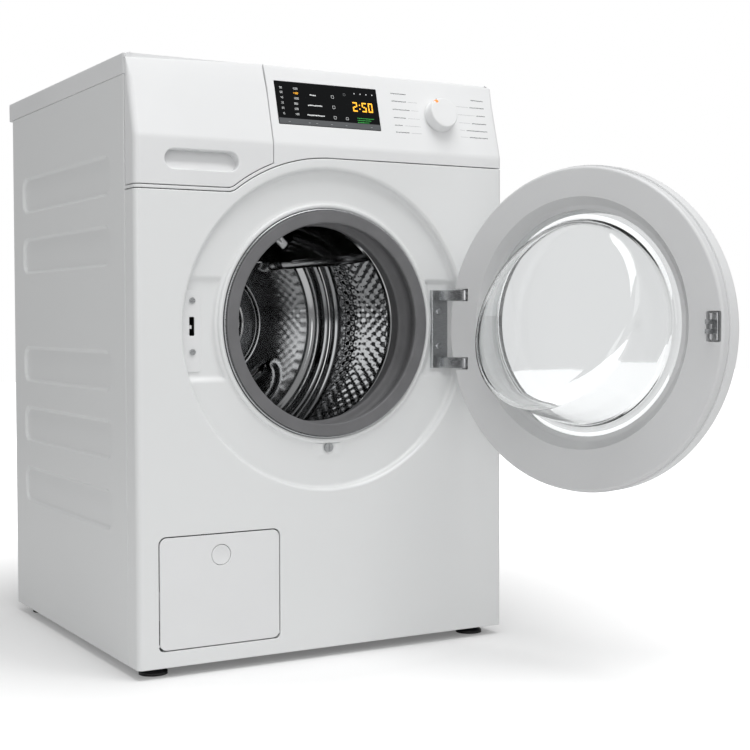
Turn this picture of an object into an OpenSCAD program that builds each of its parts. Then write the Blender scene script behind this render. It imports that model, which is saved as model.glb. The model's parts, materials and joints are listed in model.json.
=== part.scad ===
// Front load washing machine, door standing open.
// Frame: X to the right, Y from the front to the rear, Z up, all in millimetres.
// The modules below count Y from the front face; at_feet() then moves each part so that
// the origin lies on the floor, midway between the four feet.

/* [Cabinet] */
// Width over the side panels
body_w = 596; // [592:1:600]
// Height from the floor to the top of the lid
body_h = 850; // [848:1:854]
// Depth from the front face to the rear edge of the side panels
body_d = 566; // [564:1:572]
// How far the lid stands out behind the side panels
lid_over = 23; // [18:1:28]
// Height of the lid's edge
lid_t = 29; // [26:1:31]
// Gap between the floor and the panels
floor_gap = 14; // [13:0.5:15]
// Thickness of the sheet steel
sheet = 1.5; // [1.2:0.1:1.8]
// Depth to which the front panel and fascia wrap round the sides
wrap = 38; // [34:1:40]
// Depth of the stiffening recesses in the side panels
recess_d = 5; // [3:0.5:6]

/* [Fascia] */
// Height of the crease below the leaning face
crease_z = 736; // [733:1:739]
// How far the leaning face goes back on its way to the top
lean = 31; // [29:1:32]
// Wall thickness of the plastic mouldings
wall = 3; // [2.5:0.5:3.5]
// Right edge of the detergent drawer's front
drawer_x = -92; // [-96:1:-88]
// Width of the open seam between neighbouring covers
seam_gap = 1.2; // [0.8:0.1:1.5]
// Place of the knob along X
knob_x = 193; // [188:1:198]
// Place of the knob up the leaning face
knob_s = 60; // [56:1:64]
// Radius of the knob
knob_r = 25; // [22:0.5:27]
// Height of the knob above the fascia
knob_h = 17.5; // [14:0.5:20]

/* [Front opening] */
// Height of the middle of the round dish in the front panel
dish_z = 474; // [472:1:476]
// Radius of the dish where its edge begins to turn in
dish_r = 234; // [233:0.5:236]
// Depth of the dish
dish_d = 13; // [12:0.5:14]
// Height of the middle of the opening, drum and glass
open_z = 482.5; // [481:0.5:484]
// Radius of the opening in the front panel
open_r = 165.5; // [165:0.5:166]
// Inner radius of the door seal's front ring
seal_r = 144.5; // [144:0.5:146]

/* [Door] */
// Angle at which the door stands open
door_open = 108; // [90:1:115]
// Outer radius of the door
door_r = 228.5; // [227:0.5:229]
// Place of the hinge pin along X
hinge_x = 217.5; // [217:0.5:218]
// Place of the hinge pin in front of the front face
hinge_y = -18.7; // [-19.5:0.1:-18.5]
// Radius of the hinge pin
pin_r = 4; // [3.5:0.5:4.5]
// Slope of the bowl's end face, in depth for each millimetre of height
bowl_slope = 0.454; // [0.35:0.01:0.5]

/* [Drum and drive] */
// Inner radius of the drum
drum_r = 240; // [236:1:241]
// Depth of the drum's rear wall behind the front face
drum_back = 447; // [440:1:448]
// Inner radius of the tub
tub_r = 253; // [252:1:254]
// Number of lifters in the drum
lifters = 3; // [2:1:4]
// Radius of the drum pulley
pulley_r = 150; // [140:1:152]
// Radius of the motor pulley
pinion_r = 11; // [10:0.5:13]

/* [Feet] */
// Distance between the feet across the machine
foot_dx = 524; // [500:2:530]
// Distance between the feet from front to rear
foot_dy = 494; // [480:2:500]
// Radius of a foot's pad
foot_r = 20; // [18:1:22]

/* [Hidden] */
$fn = 64;

hw = body_w / 2;
lid_z = body_h - lid_t;
mid_y = 285;
fit = 0.05;
tilt = atan(lean / (body_h - crease_z));
low_seam_z = 664.5;
seam_r = 244.7;
seam_round = 25;
strip_h = 5.5;
plate_y = 34;
pad_depth = 5;
pad_lo = 408;
pad_hi = 545;
shaft_r = 15;
tail_r = 12.5;
tub_wall = 4;
tub_split = 262;
tub_lip = 4;
hose_y = 226;
tub_rear_y = 464;
pulley_y = 524;
pulley_w = 16;
motor_x = 60;
motor_z = 112;
pump_x = -175;
pump_z = 100;
lock_x = -209.5;
lock_z = 480;
flap_axis_y = 4;
flap_axis_z = 44.5;
flap_x0 = -265.8;
flap_x1 = -85.7;
flap_z0 = 37.9;
flap_z1 = 191.8;
button_x = -175;
button_z = 163;
clamp_z = 303.5;
recess_z = [221, 319.5, 417, 592.5, 690.5];
transit_at = [[-170, 655], [170, 655], [-170, 300], [170, 300]];

white = [0.9, 0.91, 0.91];
pale = [0.8, 0.81, 0.81];
steel = [0.72, 0.73, 0.74];
zinc = [0.6, 0.62, 0.63];
dark = [0.12, 0.12, 0.13];
rubber = [0.42, 0.42, 0.43];
cast = [0.35, 0.36, 0.38];
concrete = [0.62, 0.6, 0.57];
glass = [0.85, 0.9, 0.9, 0.35];

// ---------- frames and basic shapes ----------

module at_feet() translate([0, -mid_y, 0]) children();

// The leaning face: local X across, local Y up the slope, local Z straight out of it.
module on_slope() translate([0, 0, crease_z]) rotate([90 - tilt, 0, 0]) children();

// Swings the closed door to its open stand.
module door_swing() translate([hinge_x, hinge_y, 0]) rotate([0, 0, door_open])
    translate([-hinge_x, -hinge_y, 0]) children();

module block(x, y, z) translate([x[0], y[0], z[0]]) cube([x[1] - x[0], y[1] - y[0], z[1] - z[0]]);

module rod_y(r, x, z, y) translate([x, y[0], z]) rotate([-90, 0, 0]) cylinder(r = r, h = y[1] - y[0]);

module rod_x(r, y, z, x) translate([x[0], y, z]) rotate([0, 90, 0]) cylinder(r = r, h = x[1] - x[0]);

module rod_z(r, x, y, z) translate([x, y, z[0]]) cylinder(r = r, h = z[1] - z[0]);

module pipe_y(ro, ri, x, z, y) difference() {
    rod_y(ro, x, z, y);
    rod_y(ri, x, z, [y[0] - 1, y[1] + 1]);
}

// Turns a profile of [radius, depth] points round an axis that runs from front to rear.
module turned(x, z) translate([x, 0, z]) rotate([-90, 0, 0]) rotate_extrude() children();

// Extrudes an [x, z] outline from front to rear.
module prism_y(y) translate([0, y[1], 0]) rotate([90, 0, 0]) linear_extrude(y[1] - y[0]) children();

// Extrudes a [y, z] outline across the machine.
module prism_x(x) translate([x[0], 0, 0]) rotate([90, 0, 90]) linear_extrude(x[1] - x[0]) children();

function arc(c, r, a0, a1, n = 8) = [for (i = [0:n]) let (a = a0 + (a1 - a0) * i / n)
    [c[0] + r * cos(a), c[1] + r * sin(a)]];

function rounded(x, z, r) = concat(
    arc([x[1] - r, z[1] - r], r, 0, 90), arc([x[0] + r, z[1] - r], r, 90, 180),
    arc([x[0] + r, z[0] + r], r, 180, 270), arc([x[1] - r, z[0] + r], r, 270, 360));

// ---------- cabinet ----------

module base_frame() color(zinc) at_feet() {
    rim = 42;
    y = [wrap + 2.5, body_d - 6];
    x = [-hw + sheet + 0.3, hw - sheet - 0.3];
    z0 = floor_gap + sheet + 0.1;
    difference() {
        union() {
            difference() {
                block(x, y, [z0, z0 + rim]);
                block([x[0] + 2, x[1] - 2], [y[0] + 2, y[1] - 2], [z0 + 2, z0 + rim + 1]);
                block([-205, 205], [y[0] + 45, y[1] - 45], [z0 - 1, z0 + 3]);
            }
            for (sx = [-1, 1], sy = [-1, 1])
                rod_z(14, sx * foot_dx / 2, mid_y + sy * foot_dy / 2, [z0, z0 + 26]);
            for (sx = [-1, 1]) block([sx * 195 - 16, sx * 195 + 16], [y[0] + 1, y[1] - 1], [z0, z0 + 14]);
        }
        for (sx = [-1, 1], sy = [-1, 1])
            rod_z(5 + fit, sx * foot_dx / 2, mid_y + sy * foot_dy / 2, [z0 - 1, z0 + rim]);
    }
}

module recess_outline(inset) polygon(rounded([97 + inset, 515 - inset], [-30 + inset, 30 - inset], 20 - inset));

module side_panel() {
    y = [wrap + 0.6, body_d];
    z = [floor_gap, lid_z - 0.4];
    flange = 18;
    difference() {
        union() {
            block([hw - sheet, hw], y, z);
            block([hw - flange, hw], [body_d - sheet, body_d], z);
            block([hw - 8, hw], [y[0], y[0] + sheet], z);
            block([hw - flange, hw], y, [z[1] - sheet, z[1]]);
            block([hw - flange, hw], y, [z[0], z[0] + sheet]);
            block([hw - 82, hw - sheet / 2], [345, 375], [796, 800]);
            for (zc = recess_z) translate([0, 0, zc]) prism_x([hw - recess_d - sheet, hw])
                recess_outline(0);
        }
        for (zc = recess_z) translate([0, 0, zc]) prism_x([hw - recess_d, hw + 1])
            recess_outline(sheet);
        rod_z(3, hw - 73, 360, [790, 805]);
    }
}

module right_side_panel() color(white) at_feet() side_panel();

module left_side_panel() color(white) at_feet() mirror([1, 0, 0]) side_panel();

module rear_panel() color(steel) at_feet() {
    y = [body_d - 2 * sheet - 0.2, body_d - sheet - 0.2];
    x = hw - sheet - 0.3;
    difference() {
        union() {
            block([-x, x], y, [floor_gap + sheet + 0.2, lid_z - sheet - 0.6]);
            for (zc = [110, 190]) block([-210, 210], [y[0] - 4, y[0] + 0.5], [zc, zc + 12]);
        }
        rod_y(163, 0, open_z, [y[0] - 6, y[1] + 1]);
        rod_y(14, 210, 770, [y[0] - 1, y[1] + 1]);
        rod_y(12, -235, 745, [y[0] - 1, y[1] + 1]);
        rod_y(9.5, -215, 690, [y[0] - 1, y[1] + 1]);
        for (p = transit_at) rod_y(9.5, p[0], p[1], [y[0] - 1, y[1] + 1]);
        for (a = [0:60:300]) rod_y(2.6, 171 * cos(a), open_z + 171 * sin(a), [y[0] - 1, y[1] + 1]);
    }
}

module service_cover() color(steel) at_feet() {
    y = body_d - sheet - 0.2;
    difference() {
        turned(0, open_z) polygon([[0, y + 6], [140, y + 6], [152, y], [178, y], [178, y + sheet],
            [152.6, y + sheet], [140.6, y + 6 + sheet], [0, y + 6 + sheet]]);
        for (a = [0:60:300]) translate([171 * cos(a), 0, 171 * sin(a)])
            rod_y(2.6, 0, open_z, [y - 1, y + 3]);
        for (i = [-3:3]) block([-60, 60], [y, y + 12], [open_z + i * 16 - 2.5, open_z + i * 16 + 2.5]);
    }
}

// The line along the top of the front panel: level on the left, then a tight curve into an
// arc that runs over the dish.  grow lifts the line, for the parts that lie above it.
function top_line(grow) = let (
    r = seam_r + grow, z0 = low_seam_z + grow, f = seam_round - grow,
    xf = -sqrt(pow(r + f, 2) - pow(z0 + f - dish_z, 2)),
    a = atan2(dish_z - z0 - f, -xf))
    concat(arc([xf, z0 + f], f, -90, a, 6), arc([0, dish_z], r, a + 180, 90, 16));

module below_line(grow) polygon(concat([[-hw, floor_gap], [-hw, low_seam_z + grow]],
    top_line(grow), [[hw, dish_z + seam_r + grow], [hw, floor_gap]]));

module above_line(grow) polygon(concat([[-hw, low_seam_z + grow]], top_line(grow),
    [[hw, dish_z + seam_r + grow], [hw, body_h - 10]], arc([hw - 10, body_h - 10], 10, 0, 90, 6),
    arc([-hw + 10, body_h - 10], 10, 90, 180, 6)));

// Upright prism with the cabinet's rounded front edges, seen from above.
module plan(inset, z, depth) translate([0, 0, z[0]]) linear_extrude(z[1] - z[0])
    polygon(concat([[hw - inset, depth]], [[-hw + inset, depth]],
        arc([-hw + 8, 8], 8 - inset, 180, 270, 6), arc([hw - 8, 8], 8 - inset, 270, 360, 6)));

// Half profiles of the dish and of the rolled lip round the opening.
dish_edge = concat(arc([dish_r, 5], 5, 270, 180), arc([dish_r - 10, dish_d - 5], 5, 0, 90),
    [[130, dish_d], [130, dish_d + sheet]], arc([dish_r - 10, dish_d - 5], 5 + sheet, 90, 0),
    arc([dish_r, 5], 5 - sheet, 180, 270));
lip_mid = open_r + 4;
lip_edge = concat([[open_r + 11.5, dish_d]], arc([lip_mid, 12], 4, 0, -180),
    [[open_r, 22], [open_r + sheet, 22]], arc([lip_mid, 12], 4 - sheet, -180, 0),
    [[open_r + 11.5, dish_d + sheet]]);

// Space of one flat pad beside the opening, shrunk by inset.
module pad_space(side, inset, y) intersection() {
    difference() {
        rod_y(dish_r - 5 - inset, 0, dish_z, y);
        rod_y(open_r + 10.5 + inset, 0, open_z, [y[0] - 1, y[1] + 1]);
    }
    block(side < 0 ? [-hw, -60] : [60, hw], y, [pad_lo + inset, pad_hi - inset]);
}

// The opening for the service flap: its lower corners are tighter, where the flap swings in.
module flap_hole(grow, y) let (x0 = flap_x0 - grow, x1 = flap_x1 + grow, z0 = flap_z0 - grow,
    z1 = flap_z1 + grow, top = 10.7, low = 7.2) prism_y(y) polygon(concat(
    arc([x1 - top, z1 - top], top, 0, 90), arc([x0 + top, z1 - top], top, 90, 180),
    arc([x0 + low, z0 + low], low, 180, 270), arc([x1 - low, z0 + low], low, 270, 360)));

module front_panel() color(white) at_feet() {
    floor_y = dish_d + pad_depth;
    difference() {
        union() {
            difference() {
                intersection() {
                    difference() {
                        plan(0, [floor_gap, body_h], wrap);
                        plan(sheet, [floor_gap + sheet, body_h + 1], wrap + 1);
                        block([-hw + 20, hw - 20], [24, wrap + 1], [floor_gap - 1, 20]);
                    }
                    prism_y([-1, wrap + 1]) below_line(0);
                }
                rod_y(dish_r, 0, dish_z, [-1, 8]);
                flap_hole(1.5, [-1, 5]);
            }
            difference() {
                turned(0, dish_z) polygon(dish_edge);
                rod_y(open_r + 11, 0, open_z, [5, 20]);
                for (side = [-1, 1]) pad_space(side, sheet, [5, 20]);
            }
            turned(0, open_z) polygon(lip_edge);
            for (side = [-1, 1]) difference() {
                pad_space(side, 0, [dish_d, floor_y + sheet]);
                pad_space(side, sheet, [dish_d - 1, floor_y]);
            }
            for (x = [[-273, -269], [-82, -78]]) block(x, [0.5, 9], [37, 48]);
        }
        rod_x(2 + fit, flap_axis_y, flap_axis_z, [-275, -76]);
        block([lock_x - 6, lock_x + 4.5], [8, 24], [lock_z - 14, lock_z + 14]);
        for (z = [444, 515]) rod_y(2.6, lock_x, z, [8, 24]);
        for (z = [448, 500]) rod_y(2.6, 193, z, [8, 24]);
        rod_y(3.1, 0, clamp_z, [8, 24]);
        rod_y(7.4, 0, clamp_z, [5, dish_d]);
    }
}

module lid() color(white) at_feet() {
    y = [plate_y + 2.4, body_d + lid_over];
    foot = 6;
    difference() {
        translate([0, 0, lid_z]) linear_extrude(lid_t) polygon(concat([[hw, y[0]], [hw, y[1] - foot]],
            arc([hw - foot, y[1] - foot], foot, 0, 90, 6), arc([-hw + foot, y[1] - foot], foot, 90, 180, 6),
            [[-hw, y[0]]]));
        block([-hw + 4, hw - 4], [y[0] + 4, body_d - 2], [lid_z - 1, body_h - 6]);
        block([-hw + 4, hw - 4], [body_d - 3, y[1] - 4], [lid_z + 2, body_h - 6]);
    }
}

// ---------- control fascia and drawer ----------

// Side view of the outer face of the fascia and drawer front, back to depth y1.
module lean_profile(y1) polygon([[0, 600], [0, crease_z], [lean, body_h], [y1, body_h], [y1, 600]]);

// The same face moved in by the wall, for hollowing.
module lean_hollow() polygon([[wall, 590], [wall, crease_z], [lean - (wall + 8) * tan(tilt) + wall, body_h - wall - 5],
    [wrap + 5, body_h - wall - 5], [wrap + 5, 590]]);

module control_fascia() color(white) at_feet() {
    z = [600, body_h];
    split = drawer_x + seam_gap;
    difference() {
        union() {
            intersection() {
                union() {
                    difference() {
                        prism_x([-hw, hw]) lean_profile(wrap);
                        prism_x([-hw - 1, hw - wall]) lean_hollow();
                        block([-hw - 1, hw + 1], [plate_y + 2, wrap + 1], [lid_z - 0.5, body_h + 1]);
                    }
                    block([split, split + wall], [lean / 2, plate_y + 1], [690, body_h - 3]);
                }
                prism_y([-1, wrap + 1]) above_line(seam_gap);
                plan(0, z, wrap);
                union() {
                    prism_y([-1, wrap + 1]) below_line(strip_h);
                    block([split, hw + 1], [-1, wrap + 1], z);
                }
            }
            intersection() {
                block([-hw + 3, split + 1], [plate_y, plate_y + 2], [low_seam_z, body_h - 1]);
                prism_y([0, wrap]) above_line(seam_gap);
            }
            intersection() {
                block([-hw + 3, split], [0.8, plate_y + 1], [low_seam_z, 712]);
                prism_y([0, wrap]) difference() {
                    above_line(seam_gap);
                    above_line(seam_gap + 2.6);
                }
            }
        }
        block([-288, -104], [plate_y - 1, plate_y + 3], [721, 814]);
        on_slope() {
            translate([-79, 29.5, -8]) cube([167, 65.5, 12]);
            translate([knob_x, knob_s, -8]) cylinder(r = 4, h = 12);
            translate([knob_x + 4, knob_s + 30, -8]) cylinder(r = 1.8, h = 12);
        }
    }
}

module display_window() color(dark) at_feet() on_slope() difference() {
    translate([-78.6, 29.9, -3]) cube([166.2, 64.7, 3.2]);
    translate([-74, 34, -4]) cube([157.6, 56.6, 2]);
}

module display_board() color([0.15, 0.4, 0.25]) at_feet() on_slope() difference() {
    union() {
        translate([-74, 32, -9]) cube([292, 58, 1.6]);
        translate([-70, 36, -7.6]) cube([150, 52, 3.4]);
        translate([knob_x - 12, knob_s - 12, -18]) cube([24, 24, 9.2]);
        translate([knob_x, knob_s, -9]) cylinder(r = 7, h = 4.5);
        translate([110, 40, -14]) cube([34, 14, 5.2]);
    }
    translate([knob_x, knob_s, -30]) cylinder(r = 3 + fit, h = 40);
}

module programme_knob() color(white) at_feet() on_slope() translate([knob_x, knob_s, 0]) {
    rotate_extrude() polygon(concat([[0, 0.6], [knob_r - 0.8, 0.6], [knob_r, 1.6]],
        arc([knob_r - 4, knob_h - 4.6], 3.4, 8, 84, 6), [[knob_r * 0.5, knob_h - 0.5], [0, knob_h]]));
    translate([0, 0, -22]) cylinder(r = 3, h = 24);
}

module drawer_front() color(white) at_feet() {
    grip_x = [-254, -145];
    grip_z = [693, 720];
    r = 13.4;
    difference() {
        union() {
            intersection() {
                difference() {
                    prism_x([-hw, drawer_x]) lean_profile(plate_y - 0.6);
                    prism_x([-hw + wall, drawer_x - wall]) lean_hollow();
                }
                prism_y([-1, wrap]) above_line(strip_h + seam_gap);
                plan(0, [600, body_h], wrap);
            }
            intersection() {
                block([-hw + 1, drawer_x], [1, plate_y - 0.6], [low_seam_z, 712]);
                prism_y([-1, wrap]) difference() {
                    above_line(strip_h + seam_gap);
                    above_line(strip_h + seam_gap + wall);
                }
            }
            prism_y([1, 25]) polygon(rounded([grip_x[0] - wall, grip_x[1] + wall],
                [grip_z[0] - wall, grip_z[1] + wall + 6], r));
        }
        prism_y([-1, 22]) polygon(rounded(grip_x, grip_z, r));
        prism_y([5, 22]) polygon(rounded(grip_x, [grip_z[0], grip_z[1] + 6], r));
    }
}

tray_x = [-281, -111];
tray_y = [plate_y - 0.4, 280];
tray_z = [727, 803];

module drawer_tray() color(pale) at_feet() difference() {
    block(tray_x, tray_y, tray_z);
    block([tray_x[0] + 2.5, -202], [tray_y[0] + 3, 272], [tray_z[0] + 3, tray_z[1] + 1]);
    block([-199.5, tray_x[1] - 2.5], [tray_y[0] + 3, 118], [tray_z[0] + 3, tray_z[1] + 1]);
    block([-199.5, tray_x[1] - 2.5], [121, 272], [tray_z[0] + 3, tray_z[1] + 1]);
    block([-240, -180], [260, 282], [tray_z[0] + 30, tray_z[1] + 1]);
}

module siphon_cap() color([0.25, 0.45, 0.7]) at_feet() {
    difference() {
        block([-198, -114.5], [45, 84], [tray_z[1] - 16, tray_z[1] - 2]);
        block([-195, -117.5], [48, 81], [tray_z[1] - 20, tray_z[1] - 5]);
    }
    rod_z(7, -156, 64, [tray_z[0] + 6, tray_z[1] - 4]);
}

module dispenser_housing() color(pale) at_feet() difference() {
    union() {
        block([-286, -106], [plate_y + 2.3, 300], [723, 812]);
        rod_y(11, -196, 785, [299, 312]);
        rod_z(16, -150, hose_y, [716, 724]);
    }
    block([-284, -108], [plate_y + 1, 297], [725, 809]);
    rod_y(7, -196, 785, [290, 313]);
    rod_z(12, -150, hose_y, [714, 726]);
}

// ---------- feet ----------

module each_foot() for (sx = [-1, 1], sy = [-1, 1])
    translate([sx * foot_dx / 2, mid_y + sy * foot_dy / 2, 0]) children();

module screw_feet() color(dark) at_feet() each_foot() {
    cylinder(r1 = foot_r, r2 = foot_r, h = 4);
    translate([0, 0, 4]) cylinder(r1 = foot_r, r2 = foot_r - 6, h = 4.2);
    cylinder(r = 5, h = 54);
}

module lock_nuts() color(steel) at_feet() each_foot() difference() {
    translate([0, 0, 8.6]) cylinder(r = 9.8, h = 6.6, $fn = 6);
    translate([0, 0, 8]) cylinder(r = 5 + fit, h = 9);
}

// ---------- tub and its hangings ----------

tub_out = tub_r + tub_wall;

module tub_front() color(pale) at_feet() difference() {
    turned(0, open_z) polygon([[154.5, 66], [158, 66], [158, 84], [tub_out, 84], [tub_out, 255],
        [tub_out + tub_lip, 255], [tub_out + tub_lip, tub_split], [tub_r, tub_split], [tub_r, 88], [154.5, 88]]);
    rod_z(10, -150, hose_y, [600, 720]);
}

module tub_rear() color(pale) at_feet() {
    y = tub_rear_y;
    lug = [352, 368];
    difference() {
        union() {
            turned(0, open_z) polygon([[tub_r, tub_split + 0.3], [tub_out + tub_lip, tub_split + 0.3],
                [tub_out + tub_lip, tub_split + 7], [tub_out, tub_split + 7], [tub_out, y + 5], [42, y + 5],
                [42, y + 58], [26, y + 58], [26, y + 39], [24, y + 39], [24, y + 24], [31, y + 24],
                [31, y + 8], [26.1, y + 8], [26.1, y], [tub_r, y]]);
            difference() {
                block([-105, 105], [275, y + 5], [190, 255]);
                block([-101, 101], [279, y + 1], [194, 256]);
                rod_y(tub_r + 1, 0, open_z, [270, y + 1]);
                block([-30, 30], [y, y + 6], [202, 224]);
            }
            rod_z(20, -60, 330, [176, 192]);
            for (sx = [-1, 1]) difference() {
                union() {
                    block([sx * 225 - 8, sx * 225 + 8], lug, [590, 652]);
                    block([sx * 195 - 8, sx * 195 + 8], [290, 310], [296, 340]);
                }
                rod_y(tub_r + 1, 0, open_z, [270, 400]);
                rod_z(3, sx * 225, 360, [636, 660]);
            }
        }
        rod_z(16, -60, 330, [175, 200]);
        intersection() {
            block([-101, 101], [279, y - 0.5], [194, 300]);
            rod_y(tub_out + 1, 0, open_z, [270, y - 0.5]);
        }
    }
}

module counterweights() color(concrete) at_feet() {
    difference() {
        turned(0, open_z) polygon([[190, 64], [250, 64], [250, 83.6], [190, 83.6]]);
        block([-hw, hw], [60, 90], [open_z - 62, open_z + 62]);
    }
    difference() {
        block([-95, 150], [110, 250], [690, 792]);
        rod_y(tub_out + 0.3, 0, open_z, [100, 320]);
        for (x = [-60, 115]) rod_z(7, x, 180, [600, 800]);
    }
}

// A close-wound extension spring: neighbouring turns touch.
module suspension_springs() color(zinc) at_feet() for (sx = [-1, 1]) translate([sx * 225, 360, 0]) {
    wire = 2.2;
    turns = 28;
    translate([0, 0, 664]) rotate_extrude() for (i = [0:turns]) translate([12, i * 4.2]) circle(r = wire, $fn = 24);
    for (z = [[644, 667], [778, 803]]) {
        rod_z(2.4, 0, 0, z);
        translate([0, -2, z[0] > 700 ? 780 : 662]) cube([12, 4, 4]);
    }
}

module dampers() color(cast) at_feet() for (sx = [-1, 1]) translate([sx * 195, 300, 0]) {
    difference() {
        rod_z(17, 0, 0, [36, 190]);
        rod_z(6, 0, 0, [60, 191]);
    }
    block([-6, 6], [-10, 10], [29.8, 40]);
    rod_z(5, 0, 0, [70, 296]);
}

// Sealed ball bearings: two races with a shield set back between them.
module drum_bearings() color(steel) at_feet() for (b = [[31, shaft_r, 472, 16], [26, tail_r, 503, 15]])
    turned(0, open_z) polygon([[b[1], b[2]], [b[1] + 4, b[2]], [b[1] + 4, b[2] + 1], [b[0] - 4, b[2] + 1],
        [b[0] - 4, b[2]], [b[0], b[2]], [b[0], b[2] + b[3]], [b[0] - 4, b[2] + b[3]],
        [b[0] - 4, b[2] + b[3] - 1], [b[1] + 4, b[2] + b[3] - 1], [b[1] + 4, b[2] + b[3]], [b[1], b[2] + b[3]]]);

module shaft_seal() color(dark) at_feet() turned(0, open_z)
    polygon([[shaft_r + 0.3, 466], [17.5, 464.2], [26, 464.2], [26, 471.8], [18, 471.8], [18, 468], [shaft_r + 0.3, 468]]);

module heater() color(zinc) at_feet() {
    for (sx = [-1, 1]) rod_y(3.5, sx * 18, 212, [310, 475]);
    translate([0, 310, 212]) intersection() {
        rotate_extrude() translate([18, 0]) circle(r = 3.5);
        translate([-30, -30, -10]) cube([60, 30.01, 20]);
    }
    block([-32, 32], [469, 475], [200, 226]);
    for (sx = [-1, 0, 1]) block([sx * 18 - 3, sx * 18 + 3], [474, 486], [211, 213]);
}

module drive_motor() color(cast) at_feet() difference() {
    union() {
        rod_y(62, motor_x, motor_z, [370, 490]);
        rod_y(50, motor_x, motor_z, [358, 502]);
        rod_y(20, motor_x, motor_z, [500, 508]);
        for (y = [[385, 400], [445, 460]]) {
            block([motor_x, 132], y, [motor_z - 10, motor_z + 10]);
            difference() {
                block([122, 134], y, [motor_z - 10, 300]);
                rod_y(tub_out + 0.2, 0, open_z, [380, 465]);
            }
        }
    }
    rod_y(6 + fit, motor_x, motor_z, [440, 510]);
}

// Outline of a belt run over two wheels, as circles joined by the quad of tangent points.
module belt_loop(r0, c0, r1, c1) {
    d = c1 - c0;
    a = atan2(d[1], d[0]);
    b = acos((r0 - r1) / norm(d));
    translate(c0) circle(r = r0);
    translate(c1) circle(r = r1);
    polygon([c0 + r0 * [cos(a + b), sin(a + b)], c1 + r1 * [cos(a + b), sin(a + b)],
        c1 + r1 * [cos(a - b), sin(a - b)], c0 + r0 * [cos(a - b), sin(a - b)]]);
}

module drive_belt() color(dark) at_feet() {
    gap = 0.4;
    thick = 3.6;
    c0 = [0, open_z];
    c1 = [motor_x, motor_z];
    prism_y([pulley_y + 2.5, pulley_y + pulley_w - 2.5]) difference() {
        belt_loop(pulley_r + gap + thick, c0, pinion_r + gap + thick, c1);
        belt_loop(pulley_r + gap, c0, pinion_r + gap, c1);
    }
}

// ---------- door seal, lock and hinge bracket ----------

module door_seal() color(rubber) at_feet() turned(0, open_z) polygon(concat(
    [[open_r - 3.1, 4.4]], arc([open_r - 4.1, 4.4], 1, 0, -90, 3),
    [[seal_r + 1.6, 3.4]], arc([seal_r + 1.6, 5], 1.6, 270, 180, 4),
    [[seal_r, 11], [148, 17], [151, 28], [155, 33], [155.5, 42], [152, 47], [145, 50],
    [143, 54], [145, 59], [150, 63], [151, 68], [151, 85], [154.2, 85], [154.2, 66], [151.5, 60.5],
    [147.5, 57], [146.6, 54], [148, 52], [155, 49.5], [158.7, 44], [158.3, 31.5], [154, 26],
    [151.2, 16], [148, 10.5], [148, 7], [159, 7], [159, 21], [open_r - 0.3, 21],
    [open_r - 0.3, 10], [open_r - 3.1, 9.6]]));

module seal_clamp() color(zinc) at_feet() turned(0, open_z)
    translate([open_r - 1.55, 8]) circle(r = 1.3, $fn = 24);

module lock_plate() color(white) at_feet() difference() {
    intersection() {
        block([-226, -197], [16.4, 18], [417, 528]);
        rod_y(dish_r - 8.5, 0, dish_z, [16, 19]);
    }
    block([lock_x - 6, lock_x + 4.5], [16, 19], [lock_z - 14, lock_z + 14]);
    for (z = [444, 515]) rod_y(2.6, lock_x, z, [16, 19]);
}

module door_lock() color(dark) at_feet() difference() {
    union() {
        block([-226, -194], [19.6, 44], [434, 526]);
        block([-222, -198], [43, 52], [450, 500]);
    }
    block([lock_x - 8, lock_x + 7], [19, 39], [lock_z - 16, lock_z + 16]);
    for (z = [444, 515]) rod_y(2.6, lock_x, z, [19, 36]);
}

arm_z = [[415, 431], [516.5, 532.5]];

module hinge_bracket() color(zinc) at_feet() difference() {
    union() {
        block([178, 208], [15, 18], [415, 532.5]);
        block([178, 181], [11, 17], [415, 532.5]);
        for (z = arm_z) translate([0, 0, z[0]]) linear_extrude(z[1] - z[0]) {
            polygon([[194, 16], [206.5, 16], [hinge_x + 7.9, hinge_y + 2.5], [hinge_x - 7.4, hinge_y - 1.2]]);
            translate([hinge_x, hinge_y]) circle(r = 8);
        }
    }
    rod_z(pin_r + fit, hinge_x, hinge_y, [400, 550]);
    for (z = [448, 500]) rod_y(2.6, 193, z, [10, 20]);
}

module screw(x, z, y, head_r, head_h, len) {
    rod_y(head_r, x, z, [y - head_h, y]);
    rod_y(2.5, x, z, [y - 0.5, y + len]);
}

module panel_screws() color(steel) at_feet() {
    for (z = [444, 515]) screw(lock_x, z, 16.4, 4.2, 2.2, 18);
    for (z = [448, 500]) screw(193, z, 15, 4.6, 2.6, 14);
    difference() {
        screw(0, clamp_z, dish_d, 6.6, 4.2, 12);
        block([-0.7, 0.7], [8, 10.4], [clamp_z - 5, clamp_z + 5]);
        block([-5, 5], [8, 10.4], [clamp_z - 0.7, clamp_z + 0.7]);
    }
    for (a = [0:60:300]) translate([171 * cos(a), 0, open_z + 171 * sin(a)]) {
        rod_y(4.5, 0, 0, [body_d - 0.2, body_d + 2]);
        rod_y(2.5, 0, 0, [body_d - 8, body_d]);
    }
}

// ---------- water and power ----------

module inlet_valve() color(pale) at_feet() {
    difference() {
        union() {
            block([186, 234], [520, body_d - 2 * sheet - 0.3], [752, 796]);
            rod_y(13.2, 210, 770, [555, 586]);
            rod_x(9, 540, 785, [176, 190]);
        }
        rod_y(9, 210, 770, [565, 587]);
        rod_x(6, 540, 785, [175, 200]);
    }
    for (x = [198, 222]) rod_y(11, x, 774, [484, 521]);
}

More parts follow.
